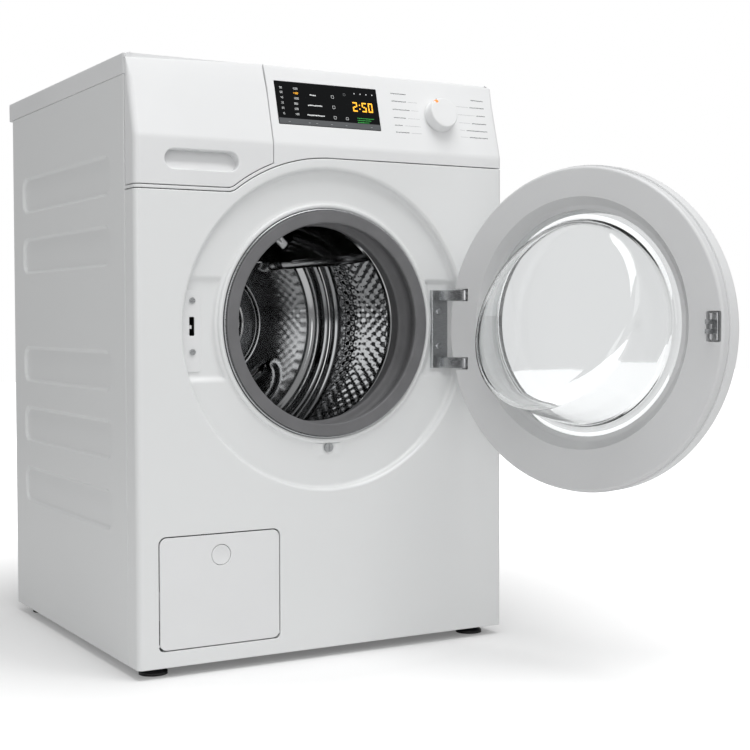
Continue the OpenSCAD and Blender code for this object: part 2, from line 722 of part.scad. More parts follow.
// A round pipe through a list of corner points, with a ball at each corner.
module pipe_run(r, points) {
    for (i = [0:len(points) - 2]) {
        p = points[i];
        d = points[i + 1] - p;
        len_d = norm(d);
        translate(p) rotate([0, acos(d[2] / len_d), atan2(d[1], d[0])]) cylinder(r = r, h = len_d);
    }
    for (i = [1:1:len(points) - 2]) translate(points[i]) sphere(r = r);
}

module fill_hose() color(dark) at_feet()
    pipe_run(8, [[175.6, 540, 785], [-196, 540, 785], [-196, 312.4, 785]]);

module dispenser_hose() color(dark) at_feet() difference() {
    union() {
        rod_z(14, -150, hose_y, [640, 715.6]);
        for (z = [700, 706, 712]) rod_z(17, -150, hose_y, [z, z + 3]);
    }
    rod_y(tub_out + 0.3, 0, open_z, [200, 254.6]);
    rod_z(11, -150, hose_y, [630, 720]);
}

module sump_hose() color(dark) at_feet()
    pipe_run(18, [[-60, 330, 175.6], [-60, 330, 110], [-60, 74, 110], [-135.2, 74, 110]]);

module drain_pump() color(pale) at_feet() {
    difference() {
        union() {
            rod_y(36, pump_x, pump_z, [28, 112]);
            rod_y(31, pump_x, pump_z, [111, 164]);
            rod_z(11, pump_x, 94, [pump_z + 20, 160]);
            block([pump_x - 24, pump_x + 24], [46, 95], [29.8, pump_z - 20]);
            rod_x(19, 74, 110, [-150, -135.6]);
        }
        rod_y(30 + fit, pump_x, pump_z, [27, 107]);
        rod_y(3 + fit, pump_x, pump_z, [98, 140]);
        rod_z(8, pump_x, 94, [pump_z + 20, 161]);
        rod_x(15, 74, 110, [-160, -134]);
    }
}

module drain_pipe() color(pale) at_feet() {
    pipe_run(9, [[pump_x, 94, 160.5], [pump_x, 94, 178], [-272, 94, 178], [-272, 545, 178],
        [-272, 545, 745], [-235, 545, 745], [-235, 588, 745]]);
    rod_y(11.5, -235, 745, [552, 560]);
}

module mains_inlet() color(dark) at_feet() {
    rod_y(9, -215, 690, [548, 578]);
    rod_y(13, -215, 690, [body_d - sheet, 569]);
    block([-230, -200], [534, 550], [678, 702]);
}

module power_case() color(dark) at_feet() difference() {
    union() {
        block([150, 284], [70, 230], [34, 84]);
        block([146, 288], [66, 234], [84, 88]);
        for (y = [90, 210]) block([170, 264], [y - 6, y + 6], [29.8, 36]);
    }
    block([153, 281], [73, 227], [38, 84.5]);
}

module transit_plugs() color(pale) at_feet() for (p = transit_at) {
    rod_y(14, p[0], p[1], [body_d - sheet - 0.1, body_d + 2]);
    rod_y(9.3, p[0], p[1], [body_d - 14, body_d]);
}

// ---------- door ----------

seam_y = -7;
face_y = 8;
front_y = -38;
step_r = 176;
seat_r = 158;
notch_y = -27.6;

// Slots for the two arms of the hinge bracket.
module arm_notches() for (z = arm_z) block([191, 240], [notch_y, face_y + 2], [z[0] - 1.2, z[1] + 1.2]);

module door_inner_ring() color(pale) at_feet() door_swing() difference() {
    union() {
        difference() {
            turned(0, dish_z) polygon(concat([[150, face_y]], arc([door_r - 6.5, face_y - 4], 4, 90, 0, 6),
                [[door_r - 2.5, seam_y], [150, seam_y]]));
            rod_y(step_r, 0, open_z, [seam_y - 1, face_y + 1]);
        }
        turned(0, open_z) polygon([[step_r + 0.2, face_y], [step_r - 1, face_y - 0.4], [165.5, -4],
            [164, -4.5], [seat_r, -4.5], [seat_r, seam_y], [step_r + 0.2, seam_y]]);
        intersection() {
            block([203, 240], [-30, 0], [404, 544]);
            rod_y(door_r - 3.8, 0, dish_z, [-31, 1]);
        }
    }
    arm_notches();
    rod_z(pin_r + fit, hinge_x, hinge_y, [406, 542]);
    block([lock_x - 13, lock_x + 9], [face_y - 12, face_y + 1], [458.5, 499]);
}

module door_outer_ring() color(white) at_feet() door_swing() difference() {
    turned(0, dish_z) polygon(concat([[door_r, seam_y - 0.4]],
        arc([door_r - 12, front_y + 12], 12, 0, -90, 8),
        [[166, front_y], [162.2, -35], [162.2, -32.5], [169, -32.5], [169, -11.4], [172, -11.4], [172, -35]],
        arc([door_r - 12, front_y + 12], 9, -90, 0, 8), [[door_r - 3, seam_y - 0.4]]));
    arm_notches();
    block([200, 226], [-31, 0], [402, 546]);
}

// The bowl's end face leans: it lies deeper at the bottom than at the top.
module bowl_cut(depth) translate([0, depth, 497]) rotate([-atan(bowl_slope), 0, 0])
    translate([-200, 0, -300]) cube([400, 400, 600]);

module door_glass() color(glass) at_feet() door_swing() difference() {
    turned(0, open_z) polygon([[0, -6], [136, -6], [139, -11], [168, -11], [168, seam_y - 0.2],
        [151, seam_y - 0.2], [146.5, -4], [143.6, 1], [112.5, 130], [109, 137], [0, 137]]);
    bowl_cut(72);
    difference() {
        turned(0, open_z) polygon([[0, -12], [141, -12], [138.6, 1], [107.5, 130], [0, 130]]);
        bowl_cut(66.5);
    }
}

module door_pane() color([0.3, 0.32, 0.33, 0.5]) at_feet() door_swing() turned(0, dish_z)
    polygon(concat([for (r = [0:16:160]) [r, -41 + 4 * pow(r / 161.8, 2)]], [[161.8, -37], [161.8, -33]],
        [for (r = [160:-16:0]) [r, -37 + 4 * pow(r / 161.8, 2)]]));

module hinge_pin() color(steel) at_feet() rod_z(pin_r, hinge_x, hinge_y, [407, 541]);

module latch_hook() color(steel) at_feet() door_swing() {
    rod_z(2.5, -214, -1, [460.5, 497]);
    block([-215.5, -211.5], [-2, 26], [469, 488]);
    block([-212, -208.5], [19, 26], [469, 488]);
}

// ---------- drum ----------

module drum_shell() color(steel) at_feet() {
    y = drum_back;
    t = 1.2;
    difference() {
        turned(0, open_z) polygon([[drum_r, 97.2], [drum_r + t, 97.2], [drum_r + t, y], [0, y], [0, y - t],
            [60, y - t], [64, y - 5], [92, y - 5], [96, y - t], [180, y - t], [186, y - 6], [204, y - 6],
            [210, y - t], [drum_r, y - t]]);
        turned(0, open_z) polygon([[66, y + 1], [66, y - 2], [90, y - 2], [90, y + 1]]);
        turned(0, open_z) polygon([[188, y + 1], [188, y - 3.6], [202, y - 3.6], [202, y + 1]]);
    }
}

module drum_front() color(steel) at_feet() turned(0, open_z) polygon([[drum_r + 1.2, 95.2], [drum_r + 1.2, 97],
    [160.5, 97], [158.5, 99], [158.5, 106], [156, 106], [156, 97.5], [158.3, 95.2]]);

module drum_lifters() color(steel) at_feet() translate([0, 0, open_z]) for (i = [0:lifters - 1])
    rotate([0, -36 - i * 360 / lifters, 0]) prism_y([108, 438]) difference() {
        polygon(concat([[drum_r - 5.6, -38], [drum_r - 5.6, 38]], arc([178, 0], 11, 110, 250, 8)));
        polygon(concat([[drum_r - 4, -33], [drum_r - 4, 33]], arc([178, 0], 8.5, 110, 250, 8)));
    }

module drum_spider() color(cast) at_feet() {
    y = drum_back + 0.2;
    translate([0, 0, open_z]) for (i = [0:2]) rotate([0, 90 - i * 120, 0])
        block([0, 226], [y, y + 11], [-17, 17]);
    rod_y(46, 0, open_z, [y, y + 14]);
    rod_y(shaft_r - fit, 0, open_z, [y + 1, 500]);
    rod_y(tail_r - fit, 0, open_z, [499, 546]);
    translate([0, 541, open_z]) rotate([-90, 0, 0]) cylinder(r = 18, h = 7, $fn = 6);
}

module drum_pulley() color(cast) at_feet() {
    y = [pulley_y, pulley_y + pulley_w];
    pipe_y(pulley_r, pulley_r - 8, 0, open_z, y);
    pipe_y(28, tail_r, 0, open_z, [y[0], y[1] + 0.6]);
    difference() {
        rod_y(pulley_r - 4, 0, open_z, [y[0] + 6, y[0] + 10]);
        rod_y(24, 0, open_z, [y[0], y[1]]);
        for (a = [0:60:300]) translate([90 * cos(a), 0, 90 * sin(a)])
            rod_y(33, 0, open_z, [y[0], y[1]]);
    }
}

module motor_pulley() color(steel) at_feet() {
    y = [pulley_y, pulley_y + pulley_w];
    rod_y(pinion_r, motor_x, motor_z, y);
    rod_y(6, motor_x, motor_z, [442, y[0] + 2]);
    for (y0 = [y[0] - 2, y[1]]) rod_y(pinion_r + 5, motor_x, motor_z, [y0, y0 + 2]);
}

// ---------- service flap, filter and pump wheel ----------

module service_flap() color(white) at_feet() {
    difference() {
        union() {
            prism_y([0, 2.6]) polygon(rounded([flap_x0, flap_x1], [flap_z0, flap_z1], 10));
            block([flap_x0 + 4, flap_x1 - 4], [2, 6], [50, 52.5]);
            block([flap_x0 + 4, flap_x1 - 4], [2, 6], [flap_z1 - 8, flap_z1 - 5.5]);
            for (x = [flap_x0 + 3, flap_x1 - 9]) block([x, x + 6], [1, 6], [flap_axis_z - 2, flap_axis_z + 12]);
            pipe_y(17, 13, button_x, button_z, [2, 8]);
        }
        rod_y(14.4, button_x, button_z, [-1, 9]);
    }
    for (x = [[flap_x0 - 7, flap_x0 + 4], [flap_x1 - 4, flap_x1 + 7]]) rod_x(2, flap_axis_y, flap_axis_z, x);
}

module flap_button() color(white) at_feet() turned(button_x, button_z)
    polygon([[0, 2], [5, 1.8], [10, 1.2], [13.2, 0.5], [14, 0.7], [14, 7], [0, 7]]);

module drain_filter() color(dark) at_feet() difference() {
    union() {
        rod_y(30, pump_x, pump_z, [26, 44]);
        rod_y(34, pump_x, pump_z, [24, 27.6]);
        rod_y(26, pump_x, pump_z, [43, 88]);
        block([pump_x - 23, pump_x + 23], [18, 25], [pump_z - 4, pump_z + 4]);
    }
    rod_y(22, pump_x, pump_z, [47, 89]);
    for (a = [0:60:300]) translate([pump_x, 0, pump_z]) rotate([0, a, 0])
        block([15, 30], [54, 82], [-5, 5]);
}

module pump_impeller() color(dark) at_feet() {
    rod_y(7, pump_x, pump_z, [93, 105]);
    rod_y(3, pump_x, pump_z, [104, 138]);
    for (a = [0:60:300]) translate([pump_x, 0, pump_z]) rotate([0, a, 0])
        block([5, 23], [94, 104.5], [-1.2, 1.2]);
}

base_frame();
left_side_panel();
right_side_panel();
rear_panel();
service_cover();
front_panel();
lid();
control_fascia();
display_window();
display_board();
dispenser_housing();
screw_feet();
lock_nuts();
tub_front();
tub_rear();
counterweights();
suspension_springs();
dampers();
drive_motor();
drive_belt();
drum_bearings();
shaft_seal();
heater();
door_seal();
seal_clamp();
lock_plate();
door_lock();
hinge_bracket();
panel_screws();
inlet_valve();
fill_hose();
dispenser_hose();
sump_hose();
drain_pump();
drain_pipe();
mains_inlet();
power_case();
transit_plugs();
door_inner_ring();
door_outer_ring();
door_glass();
door_pane();
hinge_pin();
latch_hook();
drum_shell();
drum_front();
drum_lifters();
drum_spider();
drum_pulley();
motor_pulley();
drawer_front();
drawer_tray();
siphon_cap();
programme_knob();
service_flap();
flap_button();
drain_filter();
pump_impeller();
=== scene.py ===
"""The looks of a front load washing machine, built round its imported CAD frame.

Pieces are drawn in millimetres: X to the right, Y from the front face to the rear, Z up from
the floor.  Form.piece() turns them into metres in the row's own frame.
"""

import json
import logging
import math
import random
from dataclasses import dataclass, field
from enum import Enum
from typing import Callable, Iterable, Optional, Sequence

import bmesh
import bpy
from mathutils import Matrix, Vector
from mathutils.geometry import tessellate_polygon


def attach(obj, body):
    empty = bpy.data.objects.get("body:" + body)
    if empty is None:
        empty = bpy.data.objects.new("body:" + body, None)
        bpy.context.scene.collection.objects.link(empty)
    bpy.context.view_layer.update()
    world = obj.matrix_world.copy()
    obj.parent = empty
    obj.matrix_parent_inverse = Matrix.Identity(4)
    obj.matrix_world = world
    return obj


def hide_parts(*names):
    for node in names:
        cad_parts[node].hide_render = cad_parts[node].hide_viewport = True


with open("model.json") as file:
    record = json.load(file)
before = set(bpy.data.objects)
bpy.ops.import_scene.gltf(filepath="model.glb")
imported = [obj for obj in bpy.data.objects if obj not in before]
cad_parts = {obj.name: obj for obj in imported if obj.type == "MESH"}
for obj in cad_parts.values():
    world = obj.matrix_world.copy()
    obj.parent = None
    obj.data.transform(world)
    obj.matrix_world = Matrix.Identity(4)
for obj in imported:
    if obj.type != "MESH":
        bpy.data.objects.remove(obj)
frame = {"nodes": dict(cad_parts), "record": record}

MM = 0.001
FEET_MIDDLE = 285.0
LOG = logging.getLogger("washing_machine")

Flat = tuple[float, float]
Outline = list[Flat]
Bend = Callable[[Vector], Vector]


# ---------------------------------------------------------------- outlines


def arc(centre: Flat, radius: float, start: float, end: float, steps: int = 8) -> Outline:
    """Points along an arc.

    Args:
        centre: Middle of the arc.
        radius: Radius in millimetres.
        start: First angle in degrees.
        end: Last angle in degrees.
        steps: Number of chords.

    Returns:
        The points, both ends included.
    """
    angles = [math.radians(start + (end - start) * i / steps) for i in range(steps + 1)]
    return [(centre[0] + radius * math.cos(a), centre[1] + radius * math.sin(a)) for a in angles]


def rounded(left: float, right: float, low: float, high: float, radius: float, steps: int = 8) -> Outline:
    """A rectangle with round corners, counter-clockwise.

    Args:
        left: Lowest first coordinate.
        right: Highest first coordinate.
        low: Lowest second coordinate.
        high: Highest second coordinate.
        radius: Corner radius.
        steps: Chords in each corner.

    Returns:
        The outline's points.
    """
    return (
        arc((right - radius, high - radius), radius, 0, 90, steps)
        + arc((left + radius, high - radius), radius, 90, 180, steps)
        + arc((left + radius, low + radius), radius, 180, 270, steps)
        + arc((right - radius, low + radius), radius, 270, 360, steps)
    )


def tidy(outline: Outline) -> Outline:
    """Drops points that repeat the one before."""
    kept: Outline = []
    for point in outline:
        if not kept or math.dist(point, kept[-1]) > 1e-4:
            kept.append(point)
    if math.dist(kept[0], kept[-1]) < 1e-4:
        kept.pop()
    return kept


def inset(outline: Outline, distance: float) -> Outline:
    """Moves a counter-clockwise outline inwards.

    Args:
        outline: Closed outline.
        distance: How far; a negative distance makes it larger.

    Returns:
        The moved outline, point for point.
    """
    moved: Outline = []
    count = len(outline)
    for i, (x, z) in enumerate(outline):
        before, after = outline[i - 1], outline[(i + 1) % count]
        one = Vector((x - before[0], z - before[1])).normalized()
        two = Vector((after[0] - x, after[1] - z)).normalized()
        n_one, n_two = Vector((-one.y, one.x)), Vector((-two.y, two.x))
        mitre = n_one + n_two
        share = max(0.5, mitre.dot(n_one))
        moved.append((x + mitre.x * distance / share, z + mitre.y * distance / share))
    return moved


def smooth_step(low: float, high: float, value: float) -> float:
    """Goes smoothly from 0 at low to 1 at high."""
    t = min(1.0, max(0.0, (value - low) / (high - low)))
    return t * t * (3 - 2 * t)


def roll(radius: float, reach: float, steps: int = 5) -> Outline:
    """Edge rounding as (inset, depth) pairs, from the flat face over the edge and back.

    Args:
        radius: Radius of the rounded edge.
        reach: Depth of the flange behind the edge.
        steps: Chords in the rounding.

    Returns:
        Pairs that start on the flat face.
    """
    angles = [math.pi / 2 * i / steps for i in range(steps + 1)]
    pairs = [(radius * (1 - math.sin(a)), radius * (1 - math.cos(a))) for a in angles]
    return pairs + [(0.0, reach), (1.2, reach)]


# ---------------------------------------------------------------- meshes


class Form:
    """A mesh under construction, in millimetres counted from the front face."""

    def __init__(self) -> None:
        """Starts with no points and no faces."""
        self.points: list[Vector] = []
        self.faces: list[tuple[int, ...]] = []
        self.cuts: list[tuple[int, float]] = []

    def ring(self, points: Iterable[Sequence[float]]) -> list[int]:
        """Adds a row of points.

        Args:
            points: Three coordinates each.

        Returns:
            Their numbers.
        """
        start = len(self.points)
        self.points.extend(Vector(p) for p in points)
        return list(range(start, len(self.points)))

    def bridge(self, one: list[int], two: list[int], closed: bool = True) -> None:
        """Joins two rows of equal length with quads.

        Args:
            one: First row.
            two: Second row.
            closed: Whether the rows run round.
        """
        count = len(one)
        for i in range(count if closed else count - 1):
            j = (i + 1) % count
            self.faces.append((one[i], one[j], two[j], two[i]))

    def strips(self, rows: Sequence[list[int]], closed: bool = True) -> None:
        """Joins neighbouring rows one after another."""
        for one, two in zip(rows, rows[1:]):
            self.bridge(one, two, closed)

    def web(self, outer: list[int], holes: Sequence[list[int]] = (), axes: tuple[int, int] = (0, 2)) -> None:
        """Fills a flat outline, leaving holes open.

        Args:
            outer: Row round the outside.
            holes: Rows round the holes.
            axes: The two axes of the plane that it lies in.
        """
        rows = [outer, *holes]
        a, b = axes
        flat = [[Vector((self.points[i][a], self.points[i][b], 0.0)) for i in row] for row in rows]
        numbers = [i for row in rows for i in row]
        for triangle in tessellate_polygon(flat):
            self.faces.append(tuple(numbers[k] for k in triangle))

    def cover(
        self,
        outline: Outline,
        edge: Outline,
        holes: Sequence[tuple[Outline, Outline]] = (),
        rims: Sequence[list[int]] = (),
    ) -> None:
        """A sheet in the X-Z plane with a shaped edge and shaped holes.

        Args:
            outline: Counter-clockwise outer outline.
            edge: (inset, depth) pairs for the edge, from the flat face on.
            holes: Each an outline and (inset, depth) pairs; a negative inset is larger.
            rims: Rows of points round further holes that are already drawn.
        """
        shape = tidy(outline)
        rows = [self.ring((x, d, z) for x, z in inset(shape, i)) for i, d in edge]
        self.strips(rows)
        mouths = list(rims)
        for hole, steps in holes:
            bare = tidy(hole)
            inner = [self.ring((x, d, z) for x, z in inset(bare, i)) for i, d in steps]
            self.strips(inner)
            mouths.append(inner[0])
        self.web(rows[0], mouths)

    def pan(self, outline: Outline, steps: Outline) -> list[int]:
        """A closed floor: rows at (inset, depth) pairs, the last one filled.

        Args:
            outline: Counter-clockwise outline of the pan's mouth.
            steps: (inset, depth) pairs from the mouth to the floor.

        Returns:
            The mouth's row.
        """
        bare = tidy(outline)
        rows = [self.ring((x, d, z) for x, z in inset(bare, i)) for i, d in steps]
        self.strips(rows)
        self.web(rows[-1])
        return rows[0]

    def slab(self, outline: Outline, steps: Outline, holes: Sequence[Outline] = ()) -> None:
        """A closed board in the X-Z plane with holes straight through.

        Args:
            outline: Counter-clockwise outer outline.
            steps: (inset, depth) pairs from the front face round the edge to the back face.
            holes: Outlines of the holes.
        """
        bare = tidy(outline)
        rows = [self.ring((x, d, z) for x, z in inset(bare, i)) for i, d in steps]
        self.strips(rows)
        front, back = [], []
        for hole in holes:
            mouth = [self.ring((x, d, z) for x, z in inset(tidy(hole), -i)) for i, d in steps]
            self.strips(mouth)
            front.append(mouth[0])
            back.append(mouth[-1])
        self.web(rows[0], front)
        self.web(rows[-1], back)

    def stack(self, plan: Outline, rows: Outline) -> None:
        """A closed upright solid: (inset, height) pairs of one plan in X and Y."""
        bare = tidy(plan)
        levels = [self.ring((x, y, height) for x, y in inset(bare, i)) for i, height in rows]
        self.strips(levels)
        self.web(levels[0], axes=(0, 1))
        self.web(levels[-1], axes=(0, 1))

    def chip(self, outline: Outline, height: float) -> None:
        """A thin raised shape on the face at depth 0."""
        soft = min(0.03, height / 3)
        self.slab(outline, [(soft, -height), (0.0, soft - height), (0.0, 0.05)])

    def turned(
        self,
        profile: Outline,
        x: float,
        z: float,
        around: int = 128,
        closed: bool = False,
        shape: Optional[Callable[[float, float, float], tuple[float, float, float]]] = None,
    ) -> list[list[int]]:
        """Turns a profile round an axis that runs from front to rear.

        Args:
            profile: (radius, depth) pairs; a radius of 0 closes the end.
            x: Place of the axis.
            z: Height of the axis.
            around: Number of points in a full turn.
            closed: Whether the last pair joins the first.
            shape: Moves each point, given as x, depth and z.

        Returns:
            The rows of points.
        """
        rows = []
        for radius, depth in profile:
            spread = [2 * math.pi * i / around for i in range(around)] if radius > 1e-6 else [0.0]
            row = [(x + radius * math.cos(a), depth, z + radius * math.sin(a)) for a in spread]
            rows.append(self.ring(shape(*p) for p in row) if shape else self.ring(row))
        pairs = list(zip(rows, rows[1:])) + ([(rows[-1], rows[0])] if closed else [])
        for one, two in pairs:
            if len(one) == 1 and len(two) == 1:
                continue
            if len(one) == 1 or len(two) == 1:
                tip, base = (one[0], two) if len(one) == 1 else (two[0], one)
                for i in range(len(base)):
                    self.faces.append((tip, base[i], base[(i + 1) % len(base)]))
            else:
                self.bridge(one, two)
        return rows

    def bar(self, x: Flat, y: Flat, z: Flat, soft: float = 0.6) -> None:
        """A straight block with all its edges eased.

        Args:
            x: Lowest and highest X.
            y: Lowest and highest Y.
            z: Lowest and highest Z.
            soft: Width of the eased edges.
        """
        plan = rounded(x[0], x[1], y[0], y[1], min(soft * 1.5, (x[1] - x[0]) / 2.1, (y[1] - y[0]) / 2.1), 3)
        rise = [(soft, z[0]), (soft * 0.3, z[0] + soft * 0.3), (0.0, z[0] + soft)]
        rise += [(0.0, z[1] - soft), (soft * 0.3, z[1] - soft * 0.3), (soft, z[1])]
        self.stack(plan, rise)

    def cut(self, axis: int, places: Iterable[float]) -> None:
        """Asks for extra edges where the sheet is to bend."""
        self.cuts.extend((axis, place) for place in places)

    def piece(
        self,
        name: str,
        finish: bpy.types.Material,
        body: str,
        slot: str,
        replaces: Sequence[str] = (),
        bend: Optional[Bend] = None,
        crisp: float = 35.0,
        carve: Sequence["Form"] = (),
    ) -> bpy.types.Object:
        """Makes the Blender object, rides it on its body's empty and hides the CAD nodes that it stands for.

        Args:
            name: Name of the piece.
            finish: Its material.
            body: The body that it rides on.
            slot: The record's material slot; not used.
            replaces: CAD nodes that it stands for.
            bend: Moves each point, in millimetres.
            crisp: Edges sharper than this many degrees stay sharp.
            carve: Closed forms to cut away, drawn before the bend.

        Returns:
            The new object.
        """
        mesh = self._mesh(name)
        piece = bpy.data.objects.new(name, mesh)
        bpy.context.scene.collection.objects.link(piece)
        for number, tool in enumerate(carve):
            self._carve(piece, tool, f"{name}_cut{number}")
        for vertex in piece.data.vertices:
            moved = bend(vertex.co) if bend else vertex.co
            vertex.co = Vector((moved[0], moved[1] - FEET_MIDDLE, moved[2])) * MM
        piece.data.shade_smooth()
        piece.data.set_sharp_from_angle(angle=math.radians(crisp))
        weighted = piece.modifiers.new("even_shading", "WEIGHTED_NORMAL")
        weighted.keep_sharp = True
        piece.data.materials.clear()
        piece.data.materials.append(finish)
        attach(piece, body)
        if replaces:
            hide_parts(*replaces)
        LOG.info("made %s", name)
        return piece

    def _mesh(self, name: str) -> bpy.types.Mesh:
        """Builds the mesh in millimetres, with the cuts made and the faces turned outwards."""
        mesh = bpy.data.meshes.new(name)
        mesh.from_pydata([tuple(p) for p in self.points], [], self.faces)
        mesh.validate()
        work = bmesh.new()
        work.from_mesh(mesh)
        bmesh.ops.remove_doubles(work, verts=work.verts, dist=1e-4)
        for axis, place in self.cuts:
            at, normal = Vector((0, 0, 0)), Vector((0, 0, 0))
            at[axis], normal[axis] = place, 1.0
            everything = work.verts[:] + work.edges[:] + work.faces[:]
            bmesh.ops.bisect_plane(work, geom=everything, plane_co=at, plane_no=normal, dist=1e-4)
        bmesh.ops.recalc_face_normals(work, faces=work.faces)
        work.to_mesh(mesh)
        work.free()
        return mesh

    @staticmethod
    def _carve(piece: bpy.types.Object, tool: "Form", name: str) -> None:
        """Cuts a closed form away from a piece."""
        cutter = bpy.data.objects.new(name, tool._mesh(name))
        bpy.context.scene.collection.objects.link(cutter)
        step = piece.modifiers.new("cut", "BOOLEAN")
        step.operation, step.solver, step.object = "DIFFERENCE", "EXACT", cutter
        graph = bpy.context.evaluated_depsgraph_get()
        graph.update()
        result = bpy.data.meshes.new_from_object(piece.evaluated_get(graph))
        piece.modifiers.clear()
        piece.data = result
        bpy.data.objects.remove(cutter)


# ---------------------------------------------------------------- finishes


class Wiring:
    """The nodes of one material, with its Principled shader."""

    def __init__(self, name: str) -> None:
        """Makes an empty material with a shader."""
        self.material = bpy.data.materials.new(name)
        self.material.use_nodes = True
        self.tree = self.material.node_tree
        self.shader = self.tree.nodes["Principled BSDF"]
        self.place = self.tree.nodes.new("ShaderNodeTexCoord").outputs["Object"]

    def add(self, kind: str, **settings: object) -> bpy.types.Node:
        """Adds a node and sets its properties or numbered inputs.

        Args:
            kind: Blender's name of the node type.
            **settings: Property names, or input names with underscores for spaces.

        Returns:
            The new node.
        """
        node = self.tree.nodes.new(kind)
        for key, value in settings.items():
            if hasattr(node, key):
                setattr(node, key, value)
            else:
                node.inputs[key.replace("_", " ")].default_value = value
        return node

    def link(self, source: bpy.types.NodeSocket, target: bpy.types.NodeSocket) -> None:
        """Joins two sockets."""
        self.tree.links.new(source, target)

    def set(self, **values: object) -> None:
        """Sets the shader's own sockets."""
        for key, value in values.items():
            self.shader.inputs[key.replace("_", " ")].default_value = value

    def noise(self, scale: float, detail: float = 2.0, stretch: Sequence[float] = (1, 1, 1)) -> bpy.types.NodeSocket:
        """A cloud of values over the piece.

        Args:
            scale: Cells per metre.
            detail: Levels of finer detail.
            stretch: Scale along X, Y and Z.

        Returns:
            The noise's value.
        """
        mapping = self.add("ShaderNodeMapping", vector_type="POINT")
        mapping.inputs["Scale"].default_value = stretch
        self.link(self.place, mapping.inputs["Vector"])
        node = self.add("ShaderNodeTexNoise", Scale=scale, Detail=detail)
        self.link(mapping.outputs["Vector"], node.inputs["Vector"])
        return node.outputs["Fac"]

    def math(self, operation: str, one: object, two: object = 0.0) -> bpy.types.NodeSocket:
        """A sum on two sockets or numbers.

        Args:
            operation: Blender's name of the operation.
            one: First socket or number.
            two: Second socket or number.

        Returns:
            The result.
        """
        node = self.add("ShaderNodeMath", operation=operation)
        for socket, value in zip(node.inputs, (one, two)):
            if isinstance(value, (int, float)):
                socket.default_value = value
            else:
                self.link(value, socket)
        return node.outputs[0]

    def spread(
        self, source: bpy.types.NodeSocket, low: float, high: float, start: float = 0.3, end: float = 0.7
    ) -> bpy.types.NodeSocket:
        """Stretches a value from start..end to low..high."""
        node = self.add("ShaderNodeMapRange", From_Min=start, From_Max=end, To_Min=low, To_Max=high)
        self.link(source, node.inputs["Value"])
        return node.outputs["Result"]

    def tint(
        self, source: bpy.types.NodeSocket, one: Sequence[float], two: Sequence[float], target: str = "Base Color"
    ) -> None:
        """Mixes two colours by a value into the shader.

        Args:
            source: The value, 0 to 1.
            one: Colour at 0.
            two: Colour at 1.
            target: The shader's socket.
        """
        node = self.add("ShaderNodeMix", data_type="RGBA")
        sockets = [s for s in node.inputs if s.name in ("A", "B") and s.type == "RGBA"]
        sockets[0].default_value, sockets[1].default_value = (*one, 1.0), (*two, 1.0)
        self.link(source, node.inputs["Factor"])
        result = [s for s in node.outputs if s.type == "RGBA"][0]
        self.link(result, self.shader.inputs[target])

    def relief(self, source: bpy.types.NodeSocket, height: float, round_edges: float = 0.0) -> None:
        """Raises the surface by a value.

        Args:
            source: Height, 0 to 1.
            height: Height in metres at 1.
            round_edges: Radius in metres to which sharp edges are eased.
        """
        node = self.add("ShaderNodeBump", Strength=1.0, Distance=height)
        self.link(source, node.inputs["Height"])
        if round_edges > 0:
            eased = self.add("ShaderNodeBevel", samples=4, Radius=round_edges)
            self.link(eased.outputs["Normal"], node.inputs["Normal"])
        self.link(node.outputs["Normal"], self.shader.inputs["Normal"])


def paler(colour: Sequence[float], factor: float) -> tuple[float, float, float]:
    """The colour, lighter or darker by a factor."""
    return tuple(min(1.0, c * factor) for c in colour)


@dataclass(frozen=True)
class Enamel:
    """Stove enamel on sheet steel: glossy, with a faint ripple."""

    colour: tuple[float, float, float] = (0.8, 0.81, 0.81)
    roughness: float = 0.3
    ripple: float = 0.000006
    round_edges: float = 0.0

    def build(self, name: str) -> bpy.types.Material:
        """Wires the material."""
        w = Wiring(name)
        w.tint(w.spread(w.noise(3.0, 1), 0, 1), paler(self.colour, 0.994), paler(self.colour, 1.004))
        w.link(w.spread(w.noise(1400, 2), self.roughness - 0.02, self.roughness + 0.03), w.shader.inputs["Roughness"])
        w.relief(w.noise(900, 2), self.ripple, self.round_edges)
        w.set(Coat_Weight=0.25, Coat_Roughness=0.12)
        return w.material


@dataclass(frozen=True)
class Moulding:
    """Injection-moulded plastic with a fine spark-eroded grain."""

    colour: tuple[float, float, float] = (0.8, 0.81, 0.81)
    roughness: float = 0.38
    grain: float = 0.000015
    grain_scale: float = 2600.0
    round_edges: float = 0.0
    specular: float = 0.45

    def build(self, name: str) -> bpy.types.Material:
        """Wires the material."""
        w = Wiring(name)
        w.tint(w.spread(w.noise(5, 4), 0, 1), paler(self.colour, 0.98), paler(self.colour, 1.015))
        w.link(w.spread(w.noise(90, 3), self.roughness - 0.04, self.roughness + 0.05), w.shader.inputs["Roughness"])
        w.relief(w.noise(self.grain_scale, 2), self.grain, self.round_edges)
        w.set(Specular_IOR_Level=self.specular)
        return w.material


@dataclass(frozen=True)
class Rubber:
    """Moulded rubber, with a soft sheen and a bloom that comes and goes."""

    colour: tuple[float, float, float] = (0.16, 0.16, 0.165)
    roughness: float = 0.55
    round_edges: float = 0.0

    def build(self, name: str) -> bpy.types.Material:
        """Wires the material."""
        w = Wiring(name)
        w.tint(w.spread(w.noise(28, 5), 0, 1), paler(self.colour, 0.93), paler(self.colour, 1.08))
        w.link(w.spread(w.noise(120, 4), self.roughness - 0.08, self.roughness + 0.1), w.shader.inputs["Roughness"])
        w.relief(w.noise(1800, 3), 0.00002, self.round_edges)
        w.set(Specular_IOR_Level=0.35)
        return w.material


class Grade(Enum):
    """How a metal surface was left."""

    BRUSHED = "brushed"
    SPANGLED = "spangled"
    CAST = "cast"
    POLISHED = "polished"


